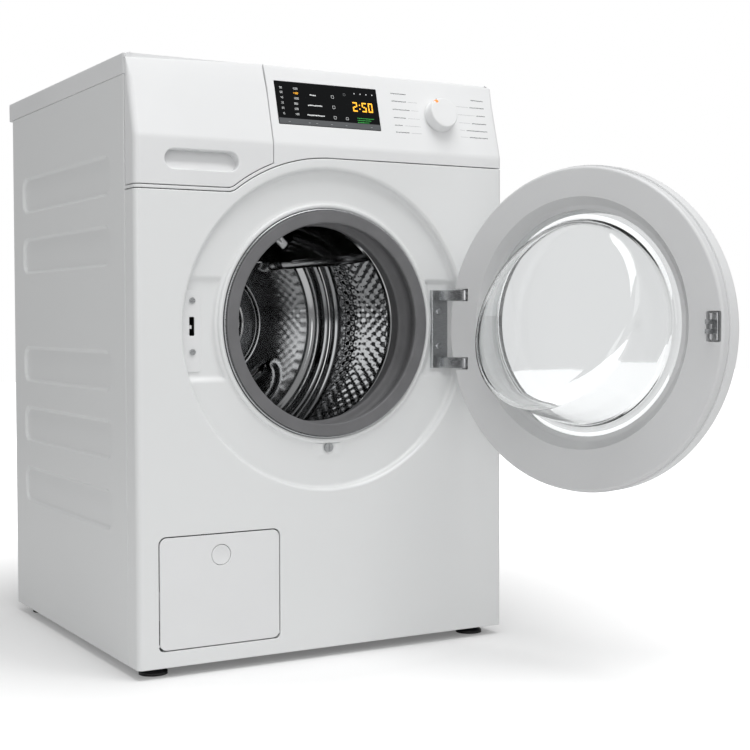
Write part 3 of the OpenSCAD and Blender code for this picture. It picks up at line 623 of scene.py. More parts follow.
@dataclass(frozen=True)
class Metal:
    """Bare metal in one of four grades."""

    colour: tuple[float, float, float] = (0.6, 0.61, 0.62)
    roughness: float = 0.3
    grade: Grade = Grade.BRUSHED
    round_edges: float = 0.0

    def build(self, name: str) -> bpy.types.Material:
        """Wires the material."""
        w = Wiring(name)
        w.set(Metallic=1.0)
        if self.grade is Grade.SPANGLED:
            cells = w.add("ShaderNodeTexVoronoi", Scale=90.0)
            w.link(w.place, cells.inputs["Vector"])
            flakes = w.add("ShaderNodeSeparateColor")
            w.link(cells.outputs["Color"], flakes.inputs[0])
            source, height = flakes.outputs[0], 0.00001
            w.tint(source, paler(self.colour, 0.85), paler(self.colour, 1.12))
        elif self.grade is Grade.CAST:
            source, height = w.noise(700, 5), 0.00015
            w.tint(w.spread(w.noise(60, 4), 0, 1), paler(self.colour, 0.85), paler(self.colour, 1.1))
        elif self.grade is Grade.POLISHED:
            source, height = w.noise(30, 2), 0.000005
            w.tint(w.spread(w.noise(12, 3), 0, 1), paler(self.colour, 0.96), self.colour)
        else:
            source, height = w.noise(160, 4, (1, 1, 22)), 0.00001
            w.tint(w.spread(source, 0, 1), paler(self.colour, 0.9), paler(self.colour, 1.05))
        w.link(w.spread(source, self.roughness * 0.8, self.roughness * 1.25), w.shader.inputs["Roughness"])
        w.relief(source, height, self.round_edges)
        return w.material


@dataclass(frozen=True)
class DrumSteel:
    """Polished stainless sheet with shallow hollows; its rows of small holes are not cut but painted as near-black
    dots, painted shade for the dark tub behind.
    """

    colour: tuple[float, float, float] = (0.50, 0.505, 0.51)
    roughness: float = 0.08
    axis_height: float = 0.4825
    holes_around: int = 84
    row_pitch: float = 0.0311
    first_row: float = 0.112
    last_row: float = 0.402
    hole_edge: float = 0.86

    def build(self, name: str) -> bpy.types.Material:
        """Wires the material."""
        w = Wiring(name)
        w.set(Metallic=1.0)
        split = w.add("ShaderNodeSeparateXYZ")
        w.link(w.place, split.inputs[0])
        depth = w.math("ADD", split.outputs[1], FEET_MIDDLE * MM)
        angle = w.math("ARCTAN2", w.math("SUBTRACT", split.outputs[2], self.axis_height), split.outputs[0])
        across = w.math("COSINE", w.math("MULTIPLY", angle, float(self.holes_around)))
        past_first = w.math("SUBTRACT", depth, self.first_row)
        along = w.math("COSINE", w.math("MULTIPLY", past_first, 2 * math.pi / self.row_pitch))
        lattice = w.math("MULTIPLY", across, along)
        front = w.spread(depth, 0.0, 1.0, self.first_row - 0.004, self.first_row - 0.003)
        rear = w.spread(depth, 1.0, 0.0, self.last_row, self.last_row + 0.001)
        inside = w.math("MULTIPLY", front, rear)
        # Painted shade: each hole is coloured near-black and made non-metal, standing for the dark tub seen through
        # it.
        hole = w.math("MULTIPLY", w.spread(lattice, 0.0, 1.0, self.hole_edge - 0.015, self.hole_edge + 0.015), inside)
        w.tint(hole, self.colour, (0.004, 0.004, 0.004))
        w.link(w.math("SUBTRACT", 1.0, hole), w.shader.inputs["Metallic"])
        rough = w.spread(w.noise(50, 4), self.roughness * 0.8, self.roughness * 1.3)
        w.link(w.math("ADD", rough, w.math("MULTIPLY", hole, 0.5)), w.shader.inputs["Roughness"])
        pillow = w.math("MULTIPLY", lattice, inside)
        w.relief(w.math("ADD", w.math("MULTIPLY", pillow, 0.5), w.math("MULTIPLY", hole, -0.6)), 0.0007)
        return w.material


@dataclass(frozen=True)
class Glass:
    """Pressed glass or clear acrylic, faintly uneven."""

    colour: tuple[float, float, float] = (0.98, 0.99, 0.99)
    roughness: float = 0.02
    ior: float = 1.48
    wave: float = 0.00003

    def build(self, name: str) -> bpy.types.Material:
        """Wires the material."""
        w = Wiring(name)
        w.set(Base_Color=(*self.colour, 1.0), Transmission_Weight=1.0, IOR=self.ior)
        w.link(w.spread(w.noise(30, 2), self.roughness * 0.5, self.roughness * 1.5), w.shader.inputs["Roughness"])
        w.relief(w.noise(14, 1), self.wave)
        return w.material


@dataclass(frozen=True)
class Lamp:
    """A lit digit or indicator, or grey print given a faint painted glow."""

    colour: tuple[float, float, float] = (1.0, 0.55, 0.08)
    strength: float = 1.6

    def build(self, name: str) -> bpy.types.Material:
        """Wires the material."""
        w = Wiring(name)
        w.tint(w.spread(w.noise(900, 1), 0, 1), paler(self.colour, 0.9), self.colour, "Emission Color")
        w.set(Base_Color=(*paler(self.colour, 0.5), 1.0), Emission_Strength=self.strength, Roughness=0.5)
        return w.material


@dataclass(frozen=True)
class Concrete:
    """Cast concrete with pores."""

    colour: tuple[float, float, float] = (0.42, 0.4, 0.37)

    def build(self, name: str) -> bpy.types.Material:
        """Wires the material."""
        w = Wiring(name)
        w.tint(w.spread(w.noise(45, 8), 0, 1), paler(self.colour, 0.8), paler(self.colour, 1.15))
        w.set(Roughness=0.9)
        w.relief(w.noise(260, 8), 0.0006)
        return w.material


def clear(material: bpy.types.Material) -> bpy.types.Material:
    """Returns the material, marked as see-through in previews."""
    material.surface_render_method = "BLENDED"
    return material


class Finishes:
    """Every finish of the machine, under the record's slot names."""

    def __init__(self) -> None:
        """Makes the finishes for new pieces and the ones for carried-over nodes."""
        eased = 0.0006
        white, pale = (0.80, 0.806, 0.81), (0.62, 0.63, 0.635)
        self.new = {
            "white_paint": Enamel().build("enamel"),
            "white_plastic": Moulding(white, 0.34).build("satin_moulding"),
            "pale_plastic": Moulding((0.70, 0.705, 0.71), 0.42).build("pale_moulding"),
            "grey_rubber": Rubber().build("bellows_rubber"),
            "stainless": DrumSteel().build("drum_steel"),
            "steel": Metal(roughness=0.24).build("pressed_steel"),
            "black_gloss": Moulding((0.004, 0.0045, 0.005), 0.10, 0.000002, specular=0.05).build("window_black"),
            "door_glass": clear(Glass().build("pressed_glass")),
            "door_pane": clear(Glass((0.74, 0.745, 0.75), 0.015, 1.3).build("outer_pane_glass")),
            "black_plastic": Moulding((0.02, 0.02, 0.022), 0.45).build("black_moulding"),
        }
        self.carried = {
            "white_paint": Enamel(round_edges=eased).build("enamel_small"),
            "white_plastic": Moulding(white, 0.34, round_edges=eased).build("satin_small"),
            "pale_plastic": Moulding(pale, 0.45, round_edges=eased).build("pale_small"),
            "galvanised": Metal((0.5, 0.52, 0.53), 0.42, Grade.SPANGLED, eased).build("galvanised_sheet"),
            "stainless": Metal((0.55, 0.555, 0.56), 0.09, Grade.POLISHED, eased).build("polished_sheet"),
            "steel": Metal((0.55, 0.56, 0.57), 0.28, Grade.BRUSHED, eased).build("turned_steel"),
            "black_plastic": Moulding((0.02, 0.02, 0.022), 0.45, round_edges=eased).build("black_small"),
            "circuit_board": Moulding((0.02, 0.12, 0.05), 0.35, round_edges=eased).build("board_lacquer"),
            "tub_plastic": Moulding((0.45, 0.455, 0.45), 0.55, 0.00004, 900.0, eased).build("tub_moulding"),
            "concrete": Concrete().build("counterweight_concrete"),
            "cast_alloy": Metal((0.45, 0.46, 0.48), 0.5, Grade.CAST, eased).build("cast_alloy"),
            "cast_iron": Metal((0.12, 0.12, 0.125), 0.55, Grade.CAST, eased).build("painted_housing"),
            "grey_rubber": self.new["grey_rubber"],
            "black_rubber": Rubber((0.025, 0.025, 0.026), 0.6, eased).build("black_rubber"),
            "blue_plastic": Moulding((0.06, 0.17, 0.4), 0.4, round_edges=eased).build("blue_moulding"),
            "black_gloss": self.new["black_gloss"],
            "door_glass": self.new["door_glass"],
            "door_pane": self.new["door_pane"],
        }

    def dress(self) -> int:
        """Gives every carried-over node its finish.

        Returns:
            How many nodes were dressed.
        """
        slots = {part["node"]: part["material_slot"] for part in frame["record"]["subparts"]}
        for name, node in frame["nodes"].items():
            if not node.material_slots:
                node.data.materials.append(None)
            for place in node.material_slots:
                place.material = self.carried[slots[name]]
        return len(frame["nodes"])


# ---------------------------------------------------------------- the cabinet's shape


@dataclass(frozen=True)
class Wrap:
    """Bends a flat sheet round the cabinet's two front corners."""

    half_width: float = 298.0
    corner: float = 8.0
    depth: float = 38.0
    leaning: bool = False
    crease: float = 736.0
    slope: float = 31 / 114
    soft: float = 4.0
    top: float = 850.0

    @property
    def flat(self) -> float:
        """Half the width that stays flat."""
        return self.half_width - self.corner

    @property
    def turn(self) -> float:
        """Length of sheet in one corner."""
        return self.corner * math.pi / 2

    @property
    def reach(self) -> float:
        """Half the width of the sheet laid out flat."""
        return self.flat + self.turn + self.depth - self.corner

    def face(self, z: float) -> float:
        """How far the outer face lies back at a height."""
        rise = z - self.crease
        if not self.leaning or rise <= -self.soft:
            return 0.0
        if rise < self.soft:
            return self.slope * (rise + self.soft) ** 2 / (4 * self.soft)
        return self.slope * rise

    def bend(self, point: Vector) -> Vector:
        """Moves a point of the flat sheet to its place on the cabinet."""
        u, d, z = point
        back = self.face(z)
        room = (self.depth if z < 820.8 or not self.leaning else self.depth - 2) - back
        corner = min(self.corner, 0.6 * room)
        side, wide = math.copysign(1.0, u), abs(u)
        if wide <= self.flat:
            x, y = wide * (self.half_width - corner) / self.flat, back + d
        elif wide <= self.flat + self.turn:
            angle = (wide - self.flat) / self.corner
            x = self.half_width - corner + (corner - d) * math.sin(angle)
            y = back + corner - (corner - d) * math.cos(angle)
        else:
            share = (wide - self.flat - self.turn) / (self.depth - self.corner)
            x, y = self.half_width - d, back + corner + share * (room - corner)
        if self.leaning and x > 288:
            fall = 10 - math.sqrt(max(0.0, 100 - (min(x, 298) - 288) ** 2))
            z -= fall * smooth_step(800, self.top, z)
        return Vector((side * x, y, z))

    def folds(self, form: Form) -> None:
        """Cuts a form where this bends it."""
        for k in range(9):
            place = self.flat + self.turn * k / 8
            form.cut(0, (place, -place))
        if self.leaning:
            form.cut(2, [self.crease + k for k in range(-4, 5, 2)])
            form.cut(2, (760, 780, 800, 815, 828, 838, 845))


@dataclass(frozen=True)
class Seam:
    """The line between the front panel and what lies above it."""

    dish_height: float = 474.0
    radius: float = 244.7
    low: float = 664.5
    fillet: float = 25.0

    def curve(self, lift: float) -> Outline:
        """The curved part, from the level line on the left to the top of the arc.

        Args:
            lift: How far the line is moved up.

        Returns:
            The points from left to right.
        """
        r, z0, f = self.radius + lift, self.low + lift, self.fillet - lift
        xf = -math.sqrt((r + f) ** 2 - (z0 + f - self.dish_height) ** 2)
        a = math.degrees(math.atan2(self.dish_height - z0 - f, -xf))
        return arc((xf, z0 + f), f, -90, a, 10) + arc((0, self.dish_height), r, a + 180, 90, 56)[1:]

    def level(self, lift: float) -> float:
        """Height of the level line on the left."""
        return self.low + lift

    def crown(self, lift: float) -> float:
        """Height of the line on the right."""
        return self.dish_height + self.radius + lift

    def left_of(self, lift: float, x: float) -> Outline:
        """The curved part as far as x, ending on the arc exactly at x."""
        kept = [p for p in self.curve(lift) if p[0] < x - 0.5]
        r = self.radius + lift
        return kept + [(x, self.dish_height + math.sqrt(r * r - x * x))]


@dataclass
class FrontPanel:
    """The pressed front panel with its round dish, two pads and rolled lip."""

    finishes: Finishes
    bottom: float = 14.0
    dish: Flat = (234.0, 474.0)
    opening: Flat = (165.5, 482.5)
    pad_depth: float = 5.0
    around: int = 576
    screw_height: float = 303.5
    seam: Seam = field(default_factory=Seam)
    wrap: Wrap = field(default_factory=Wrap)

    def build(self) -> None:
        """Makes the panel."""
        form = Form()
        rim = self._dish(form)
        reach, seam = self.wrap.reach, self.seam
        outline = [(-reach, self.bottom), (reach, self.bottom), (reach, seam.crown(0)), (120, seam.crown(0))]
        outline += list(reversed(seam.curve(0))) + [(-reach, seam.level(0))]
        hole = (arc((-94.9, 182.6), 10.7, 0, 90) + arc((-256.6, 182.6), 10.7, 90, 180)
                + arc((-260.1, 43.6), 7.2, 180, 270) + arc((-91.4, 43.6), 7.2, 270, 360))
        form.cover(outline, roll(1.4, 11), [(hole, [(-i, d) for i, d in roll(1.2, 6)[:-1]])], [rim])
        self.wrap.folds(form)
        form.piece("front_sheet", self.finishes.new["white_paint"], "cabinet", "white_paint",
                   ["front_panel"], self.wrap.bend, 50)

    def _profile(self) -> list[tuple[float, float]]:
        """(radius, depth) pairs from the rim of the dish to the inside of the lip."""
        steps = [math.pi / 2 * i / 6 for i in range(7)]
        rows = [(234 - 5 * math.sin(a), 5 - 5 * math.cos(a)) for a in steps]
        rows += [(224 + 5 * math.cos(a), 8 + 5 * math.sin(a)) for a in steps]
        rows += [(224 - 44 * i / 15, 13.0) for i in range(1, 16)]
        rows += [(178.5, 13.0), (177.2, 12.98), (175.8, 12.8), (174.6, 12.4)]
        rows += arc((169.5, 12), 4, 0, -180, 14)
        return rows + [(165.5, 16), (165.5, 22)]

    def _dish(self, form: Form) -> list[int]:
        """Draws the dish as rows of points round the opening.

        Args:
            form: The panel's form.

        Returns:
            The outermost row.
        """
        rows = []
        for radius, depth in self._profile():
            share = min(1.0, max(0.0, (224 - radius) / 47))
            middle = self.dish[1] + (self.opening[1] - self.dish[1]) * share
            row = []
            for i in range(self.around):
                angle = 2 * math.pi * i / self.around
                x, z = radius * math.cos(angle), middle + radius * math.sin(angle)
                row.append((x, self._depth(x, z, radius, depth), z))
            rows.append(form.ring(row))
        for one, two in zip(rows, rows[1:]):
            for i in range(self.around):
                j = (i + 1) % self.around
                middle = sum((form.points[k] for k in (one[i], one[j], two[j], two[i])), Vector()) / 4
                if not (-217 < middle.x < -203 and 464 < middle.z < 496):
                    form.faces.append((one[i], one[j], two[j], two[i]))
        return rows[0]

    def _depth(self, x: float, z: float, radius: float, depth: float) -> float:
        """Depth of a point of the dish, with the pads pressed in and the screw's tab raised.

        Args:
            x: Place across.
            z: Height.
            radius: Distance from the axis.
            depth: Depth of the plain dish there.

        Returns:
            The depth in millimetres.
        """
        if abs(x) > 60:
            band = smooth_step(402, 411, z) * (1 - smooth_step(541, 549, z))
            wall = min(1.0, max(0.0, (depth - 5) / 8)) if radius > 190 else smooth_step(176.5, 181, radius)
            depth += self.pad_depth * band * wall
        if z < 330 and radius > 174:
            tab = 1 - smooth_step(13, 27, abs(x))
            tab *= smooth_step(286, 294, z)
            pocket = 1 - smooth_step(7.6, 9.2, math.hypot(x, z - self.screw_height))
            depth -= 2.6 * tab * (1 - pocket) * (1 if depth > 12 else 0)
        return depth


@dataclass
class SidePanel:
    """One side sheet with its five pressed recesses."""

    finishes: Finishes
    side: int
    y: Flat = (38.6, 566.0)
    z: Flat = (14.0, 820.6)
    recess_y: Flat = (97.0, 515.0)
    recess_half: float = 30.0
    heights: tuple[float, ...] = (221.0, 319.5, 417.0, 592.5, 690.5)

    def build(self) -> None:
        """Makes the sheet."""
        form = Form()
        press = [(0, 0), (0.9, 0.15), (1.9, 0.75), (3.1, 2.1), (4.1, 3.6), (5.1, 4.5), (6.3, 4.9), (7.6, 5.0)]
        rims = [form.pan(rounded(*self.recess_y, h - self.recess_half, h + self.recess_half, 21, 12), press)
                for h in self.heights]
        outline = [(self.y[0], self.z[0]), (self.y[1], self.z[0]), (self.y[1], self.z[1]), (self.y[0], self.z[1])]
        form.cover(outline, roll(1.1, 16), rims=rims)
        name = "left" if self.side < 0 else "right"
        form.piece(f"side_sheet_{name}", self.finishes.new["white_paint"], "cabinet", "white_paint",
                   [f"{name}_side_panel"], lambda p: Vector((self.side * (298 - p.y), p.x, p.z)), 50)


@dataclass
class Lid:
    """The worktop: a moulded slab with an overhang at the rear."""

    finishes: Finishes
    x: float = 298.0
    y: Flat = (36.4, 589.0)
    z: Flat = (821.0, 850.0)

    def build(self) -> None:
        """Makes the slab with its eased edges."""
        form = Form()
        plan = rounded(-self.x, self.x, self.y[0], self.y[1], 6, 8)
        plan = [(x, max(y, self.y[0])) for x, y in plan]
        low, high = self.z
        rise = [(5.0, low), (1.0, low), (0.3, low + 0.3), (0.0, low + 1.0), (0.0, high - 2.6), (0.35, high - 1.2),
                (1.2, high - 0.35), (2.6, high), (9.0, high)]
        form.stack(plan, rise)
        form.piece("lid_slab", self.finishes.new["white_plastic"], "cabinet", "white_plastic", ["lid"], crisp=50)


# ---------------------------------------------------------------- fascia


@dataclass(frozen=True)
class Slope:
    """The leaning face: X across, Z up the slope, Y into it."""

    crease: float = 736.0
    tilt: float = math.atan(31 / 114)

    def bend(self, point: Vector) -> Vector:
        """Moves a point of the slope's own frame to the machine's."""
        x, d, s = point
        c, t = math.cos(self.tilt), math.sin(self.tilt)
        return Vector((x, s * t + d * c, self.crease + s * c - d * t))


@dataclass
class Marks:
    """Thin printed or lit shapes of one colour on the leaning face."""

    name: str
    finish: bpy.types.Material
    slot: str
    height: float = 0.07
    base: float = 0.0
    slope: Slope = field(default_factory=Slope)
    form: Form = field(default_factory=Form)

    SEGMENTS = {"0": "abcdef", "1": "bc", "2": "abged", "3": "abgcd", "4": "fgbc",
                "5": "afgcd", "6": "afgedc", "7": "abc", "8": "abcdefg", "9": "abcdfg"}

    def bar(self, left: float, right: float, s: float, tall: float) -> None:
        """A level bar centred on s."""
        self.form.chip(rounded(left, right, s - tall / 2, s + tall / 2, min(tall / 2.2, 0.3), 2), self.height)

    def words(self, left: float, right: float, s: float, tall: float, seed: int) -> None:
        """A row of short bars that stands for a label.

        Args:
            left: Where it starts.
            right: Where it ends.
            s: Its place up the slope.
            tall: Height of the bars.
            seed: Picks the lengths.
        """
        pick = random.Random(seed)
        x = left
        while x < right - 0.9:
            end = min(right, x + pick.uniform(1.2, 2.6))
            rise = pick.choice((0.0, 0.12, -0.1)) * tall
            self.bar(x, end, s + rise, tall * pick.uniform(0.75, 1.0))
            x = end + 0.45

    def digits(self, text: str, left: float, s: float, tall: float) -> float:
        """Numbers made of seven straight strokes each.

        Args:
            text: Digits and colons.
            left: Where the first one starts.
            s: Their middle, up the slope.
            tall: Their height.

        Returns:
            Where the last one ends.
        """
        stroke, wide = tall * 0.13, tall * 0.52
        low, mid, high = s - tall / 2, s, s + tall / 2
        x = left
        for sign in text:
            if sign == ":":
                for dot in (-0.2, 0.2):
                    self.form.chip(rounded(x, x + stroke, s + dot * tall - stroke / 2, s + dot * tall + stroke / 2,
                                           stroke * 0.2, 2), self.height)
                x += stroke + tall * 0.2
                continue
            gap = stroke * 0.12
            spans = {
                "a": (x, x + wide, high - stroke, high), "d": (x, x + wide, low, low + stroke),
                "g": (x + stroke + gap, x + wide - stroke - gap, mid - stroke / 2, mid + stroke / 2),
                "b": (x + wide - stroke, x + wide, mid + gap, high - stroke - gap),
                "c": (x + wide - stroke, x + wide, low + stroke + gap, mid - gap),
                "f": (x, x + stroke, mid + gap, high - stroke - gap),
                "e": (x, x + stroke, low + stroke + gap, mid - gap),
            }
            for part in self.SEGMENTS[sign]:
                self.form.chip(rounded(*spans[part], stroke * 0.25, 2), self.height)
            x += wide + tall * 0.2
        return x - tall * 0.2

    def disc(self, x: float, s: float, radius: float) -> None:
        """A round dot."""
        self.form.chip(arc((x, s), radius, 0, 345, 23), self.height)

    def frame(self, x: float, s: float, size: float, stroke: float = 0.4) -> None:
        """A small square frame, the sign of a key."""
        outer = rounded(x - size, x + size, s - size, s + size, size * 0.3, 3)
        hole = rounded(x - size + stroke, x + size - stroke, s - size + stroke, s + size - stroke, size * 0.2, 3)
        self.form.slab(outer, [(0.0, -self.height), (0.0, 0.05)], [hole])

    def done(self) -> None:
        """Makes the piece."""
        lift = Vector((0, -self.base, 0))
        self.form.piece(self.name, self.finish, "cabinet", self.slot, bend=lambda p: self.slope.bend(p + lift))


@dataclass
class Fascia:
    """The leaning control fascia with its window and printed scales."""

    finishes: Finishes
    split: float = -90.8
    window: tuple[float, float, float, float] = (-79.0, 88.0, 29.5, 95.0)
    seam: Seam = field(default_factory=Seam)
    wrap: Wrap = field(default_factory=lambda: Wrap(leaning=True))
    slope: Slope = field(default_factory=Slope)

    def build(self) -> None:
        """Makes the moulding, the window and every mark."""
        self._moulding()
        self._window()
        self._readout()
        self._scales()
        self._programmes()

    def _moulding(self) -> None:
        """The moulding, with the strip that runs on under the drawer."""
        form, reach, seam = Form(), self.wrap.reach, self.seam
        outline = [(-reach, seam.level(1.2))] + seam.curve(1.2) + [(120, seam.crown(1.2)), (reach, seam.crown(1.2))]
        outline += [(reach, 850), (self.split, 850)]
        outline += list(reversed(seam.left_of(5.5, self.split))) + [(-reach, seam.level(5.5))]
        left, right, low, high = self.window
        c = math.cos(self.slope.tilt)
        hole = rounded(left, right, 736 + low * c, 736 + high * c, 1.2, 4)
        form.cover(outline, roll(1.1, 9), [(hole, [(-0.35, 0.0), (-0.1, 0.1), (0.0, 0.35), (0.0, 3.0)])])
        self.wrap.folds(form)
        form.piece("fascia_moulding", self.finishes.new["white_plastic"], "cabinet", "white_plastic",
                   ["control_fascia"], self.wrap.bend, 50)
        back = Form()
        back.slab(rounded(-295, -92, 672, 849, 2, 3), [(0.0, 34.2), (0.0, 35.8)],
                  [rounded(-288, -104, 721, 814, 4, 4)])
        back.piece("drawer_bay_wall", self.finishes.new["white_plastic"], "cabinet", "white_plastic", crisp=50)

    def _window(self) -> None:
        """The black window with the grey strip of touch keys along its foot."""
        left, right, low, high = self.window
        form = Form()
        form.slab(rounded(left + 0.35, right - 0.35, low + 0.35, high - 0.35, 1.0, 4),
                  [(0.5, -0.25), (0.15, -0.15), (0.0, 0.15), (0.0, 2.6)])
        form.piece("window_cover", self.finishes.new["black_gloss"], "cabinet", "black_gloss",
                   ["display_window"], self.slope.bend)
        grey = Moulding((0.075, 0.08, 0.085), 0.22, 0.000003).build("touch_strip_grey")
        strip = Marks("touch_strip", grey, "black_gloss", 0.05, 0.22)
        strip.form.chip(rounded(left + 0.9, right - 0.9, low + 0.9, 39.0, 0.8, 3), 0.05)
        strip.done()

    def _readout(self) -> None:
        """The amber time, the green bars and the lit row."""
        amber = Marks("time_digits", Lamp((1.0, 0.45, 0.02), 1.5).build("amber_light"), "black_gloss", 0.05, 0.22)
        amber.digits("2:50", 45, 64.5, 14.5)
        amber.digits("1400", -51, 78, 3.0)
        amber.done()
        green = Marks("green_bars", Lamp((0.02, 0.4, 0.05), 0.5).build("green_light"), "black_gloss", 0.05, 0.22)
        for row in range(3):
            green.words(50, 78 - 4 * row, 47 - 3.2 * row, 1.3, 50 + row)
        green.done()

    def _scales(self) -> None:
        """The white numbers, bars and key signs in the window."""
        white = Marks("window_scales", Lamp((0.8, 0.82, 0.82), 0.55).build("white_light"), "black_gloss", 0.05, 0.22)
        scale = (("90", "1600"), ("60", ""), ("40", "1200"), ("30", "900"), ("20", "600"), ("15", "400"))
        for row, pair in enumerate(scale):
            s = (85, 78, 70, 62, 54, 46)[row]
            white.digits(pair[0], -71.5, s, 3.0)
            if pair[1]:
                white.digits(pair[1], -51, s, 3.0)
        for left, right, s in ((-24, -13, 77), (-29, -6, 61), (-32, -4, 46)):
            white.words(left, right, s, 2.0, int(s))
        for s in (77, 61, 45):
            white.frame(13, s, 2.2)
        white.frame(33, 45, 2.0)
        for x in (50, 60, 70, 80):
            white.disc(x, 85, 0.9)
        white.done()
        # The touch signs are grey print with a faint painted glow, emission 0.15.
        dim = Marks("touch_signs", Lamp((0.3, 0.31, 0.32), 0.15).build("dim_print_painted_glow"), "black_gloss", 0.04, 0.28)
        for x in (-62, -30, -18, 6, 30, 72):
            dim.bar(x - 1.6, x + 1.6, 34, 1.0)
        dim.frame(33, 82, 1.8)
        dim.done()

    def _programmes(self) -> None:
        """Label rows and leader lines round the knob."""
        ink = Moulding((0.11, 0.115, 0.12), 0.5, 0.000004).build("grey_print")
        print_ = Marks("programme_marks", ink, "black_plastic", 0.035)
        for row, s in enumerate((91, 79, 66, 53, 41, 30)):
            width = (27, 25, 29, 22, 14, 24)[row]
            print_.words(113, 113 + width, s, 1.5, 10 + row)
            right = (22, 26, 16, 26, 38, 34)[row]
            print_.words(278 - right, 278, s, 1.5, 30 + row)
            if row:
                print_.bar(113 + width + 3, 158, s, 0.25)
                print_.bar(228, 275 - right, s, 0.25)
        print_.bar(192.6, 193.4, 88.5, 2.0)
        print_.done()


@dataclass
class Drawer:
    """The detergent drawer's front with its grip recess."""

    finishes: Finishes
    right: float = -92.0
    grip: tuple[float, float, float, float] = (-254.0, -145.0, 693.0, 720.0)
    seam: Seam = field(default_factory=Seam)
    wrap: Wrap = field(default_factory=lambda: Wrap(leaning=True, depth=33.4))

    def build(self) -> None:
        """Makes the front."""
        form, seam = Form(), self.seam
        reach = self.wrap.reach
        outline = [(-reach, seam.level(6.7))] + seam.left_of(6.7, self.right) + [(self.right, 850), (-reach, 850)]
        left, right, low, high = self.grip
        mouth = [(-i, d) for i, d in roll(1.6, 4)[:-1]]
        hole = rounded(left, right, low, high, 13.4, 12)
        form.cover(outline, roll(1.1, 8), [(hole, mouth)])
        wall = form.ring((x, 4.0, z) for x, z in tidy(hole))
        ramp = [(x, 5.5 + 14 * (z - low) / (high - low), z) for x, z in inset(tidy(hole), 0.5)]
        floor = form.ring(ramp)
        form.bridge(wall, floor)
        form.web(floor)
        self.wrap.folds(form)
        form.piece("drawer_moulding", self.finishes.new["white_plastic"], "drawer", "white_plastic",
                   ["drawer_front"], self.wrap.bend, 50)


@dataclass
class Knob:
    """The programme knob."""

    finishes: Finishes
    x: float = 193.0
    s: float = 60.0
    radius: float = 25.0
    height: float = 17.5
    mark_at: float = math.radians(124)
    mark_width: float = 4.4
    mark_lift: float = 0.06

    def build(self) -> None:
        """Makes the cap with its skirt, and the lit mark on its edge."""
        form = Form()
        r, h = self.radius, self.height
        rim = arc((r - 4.1, h - 2.6), 2.4, 5, 88, 7)
        profile = [(0, -0.6), (r - 0.8, -0.6), (r - 0.2, -0.8), (r, -1.4), (r - 0.2, -2.0), (r - 0.7, -2.4)]
        profile += [(r - 1.0, -4.0)]
        profile += [(r - 1.3 - 0.4 * k / 4, -4.0 - (h - 7.0) * k / 4) for k in range(1, 5)]
        profile += [(p[0], -p[1]) for p in rim]
        profile += [(r * 0.6, 0.15 - h), (r * 0.3, 0.3 - h), (0, 0.35 - h)]
        form.turned(profile, self.x, self.s, 160)
        form.piece("knob_cap", self.finishes.new["white_plastic"], "knob", "white_plastic",
                   ["programme_knob"], Slope().bend, 40)
        over = [(p[0] + self.mark_lift, -p[1] - self.mark_lift) for p in rim]
        self._mark([(r - 1.2, 4.0 - h)] + over + [(r - 6.6, -0.02 - h)])

    def _mark(self, edge: Outline) -> None:
        """Lays the lit mark over the cap's edge.

        Args:
            edge: (radius, depth) pairs from the skirt to the face.
        """
        mark = Form()
        rows = []
        for radius, depth in edge:
            spread = [self.mark_at + self.mark_width / radius * (k / 6 - 0.5) for k in range(7)]
            places = [(self.x + radius * math.cos(a), depth, self.s + radius * math.sin(a)) for a in spread]
            rows.append(mark.ring(places))
        mark.strips(rows, closed=False)
        glow = Lamp((1.0, 0.27, 0.03), 0.9).build("orange_light")
        mark.piece("pointer_light", glow, "knob", "black_gloss", (), Slope().bend)


@dataclass
class ServiceFlap:
    """The flap over the pump filter, with its push catch."""

    finishes: Finishes
    x: Flat = (-265.8, -85.7)
    z: Flat = (37.9, 191.8)
    button: Flat = (-175.0, 163.0)
    hinge: Flat = (4.0, 44.5)

    def build(self) -> None:
        """Makes the flap and the catch."""
        form = Form()
        hole = arc(self.button, 14.6, 0, 352.5, 47)
        edge = [(1.0, 0.0), (0.55, 0.08), (0.2, 0.3), (0.0, 0.8), (0.0, 2.6)]
        form.slab(rounded(*self.x, *self.z, 10, 10), edge, [hole])
        left, right = self.x
        for low in (50.0, self.z[1] - 8):
            form.bar((left + 4, right - 4), (2.0, 6.0), (low, low + 2.5), 0.3)
        for start in (left + 3, right - 9):
            form.bar((start, start + 6), (1.0, 6.0), (42.5, 56.5), 0.4)
        for span in ((left - 7, left + 4), (right - 4, right + 7)):
            self._pin(form, span)
        form.piece("flap_door", self.finishes.new["white_plastic"], "flap", "white_plastic", ["service_flap"],
                   crisp=50)
        cap = Form()
        dish = [(0, 1.9), (4, 1.8), (8, 1.45), (11.2, 0.95), (12.6, 0.55), (13.3, 0.5), (13.8, 0.7)]
        dish += [(14.0, 1.2), (14.0, 7.0), (0, 7.0)]
        cap.turned(dish, *self.button, 96)
        cap.piece("catch_cap", self.finishes.new["white_plastic"], "flap_catch", "white_plastic", ["flap_button"])

    def _pin(self, form: Form, span: Flat) -> None:
        """A hinge pin along X."""
        turn = [math.pi * k / 8 for k in range(16)]
        rows = [form.ring((x, self.hinge[0] + r * math.cos(a), self.hinge[1] + r * math.sin(a)) for a in turn)
                for x, r in ((span[0], 1.5), (span[0] + 0.5, 2.0), (span[1] - 0.5, 2.0), (span[1], 1.5))]
        form.strips(rows)
        form.web(rows[0], axes=(1, 2))
        form.web(rows[-1], axes=(1, 2))


# ---------------------------------------------------------------- the opening


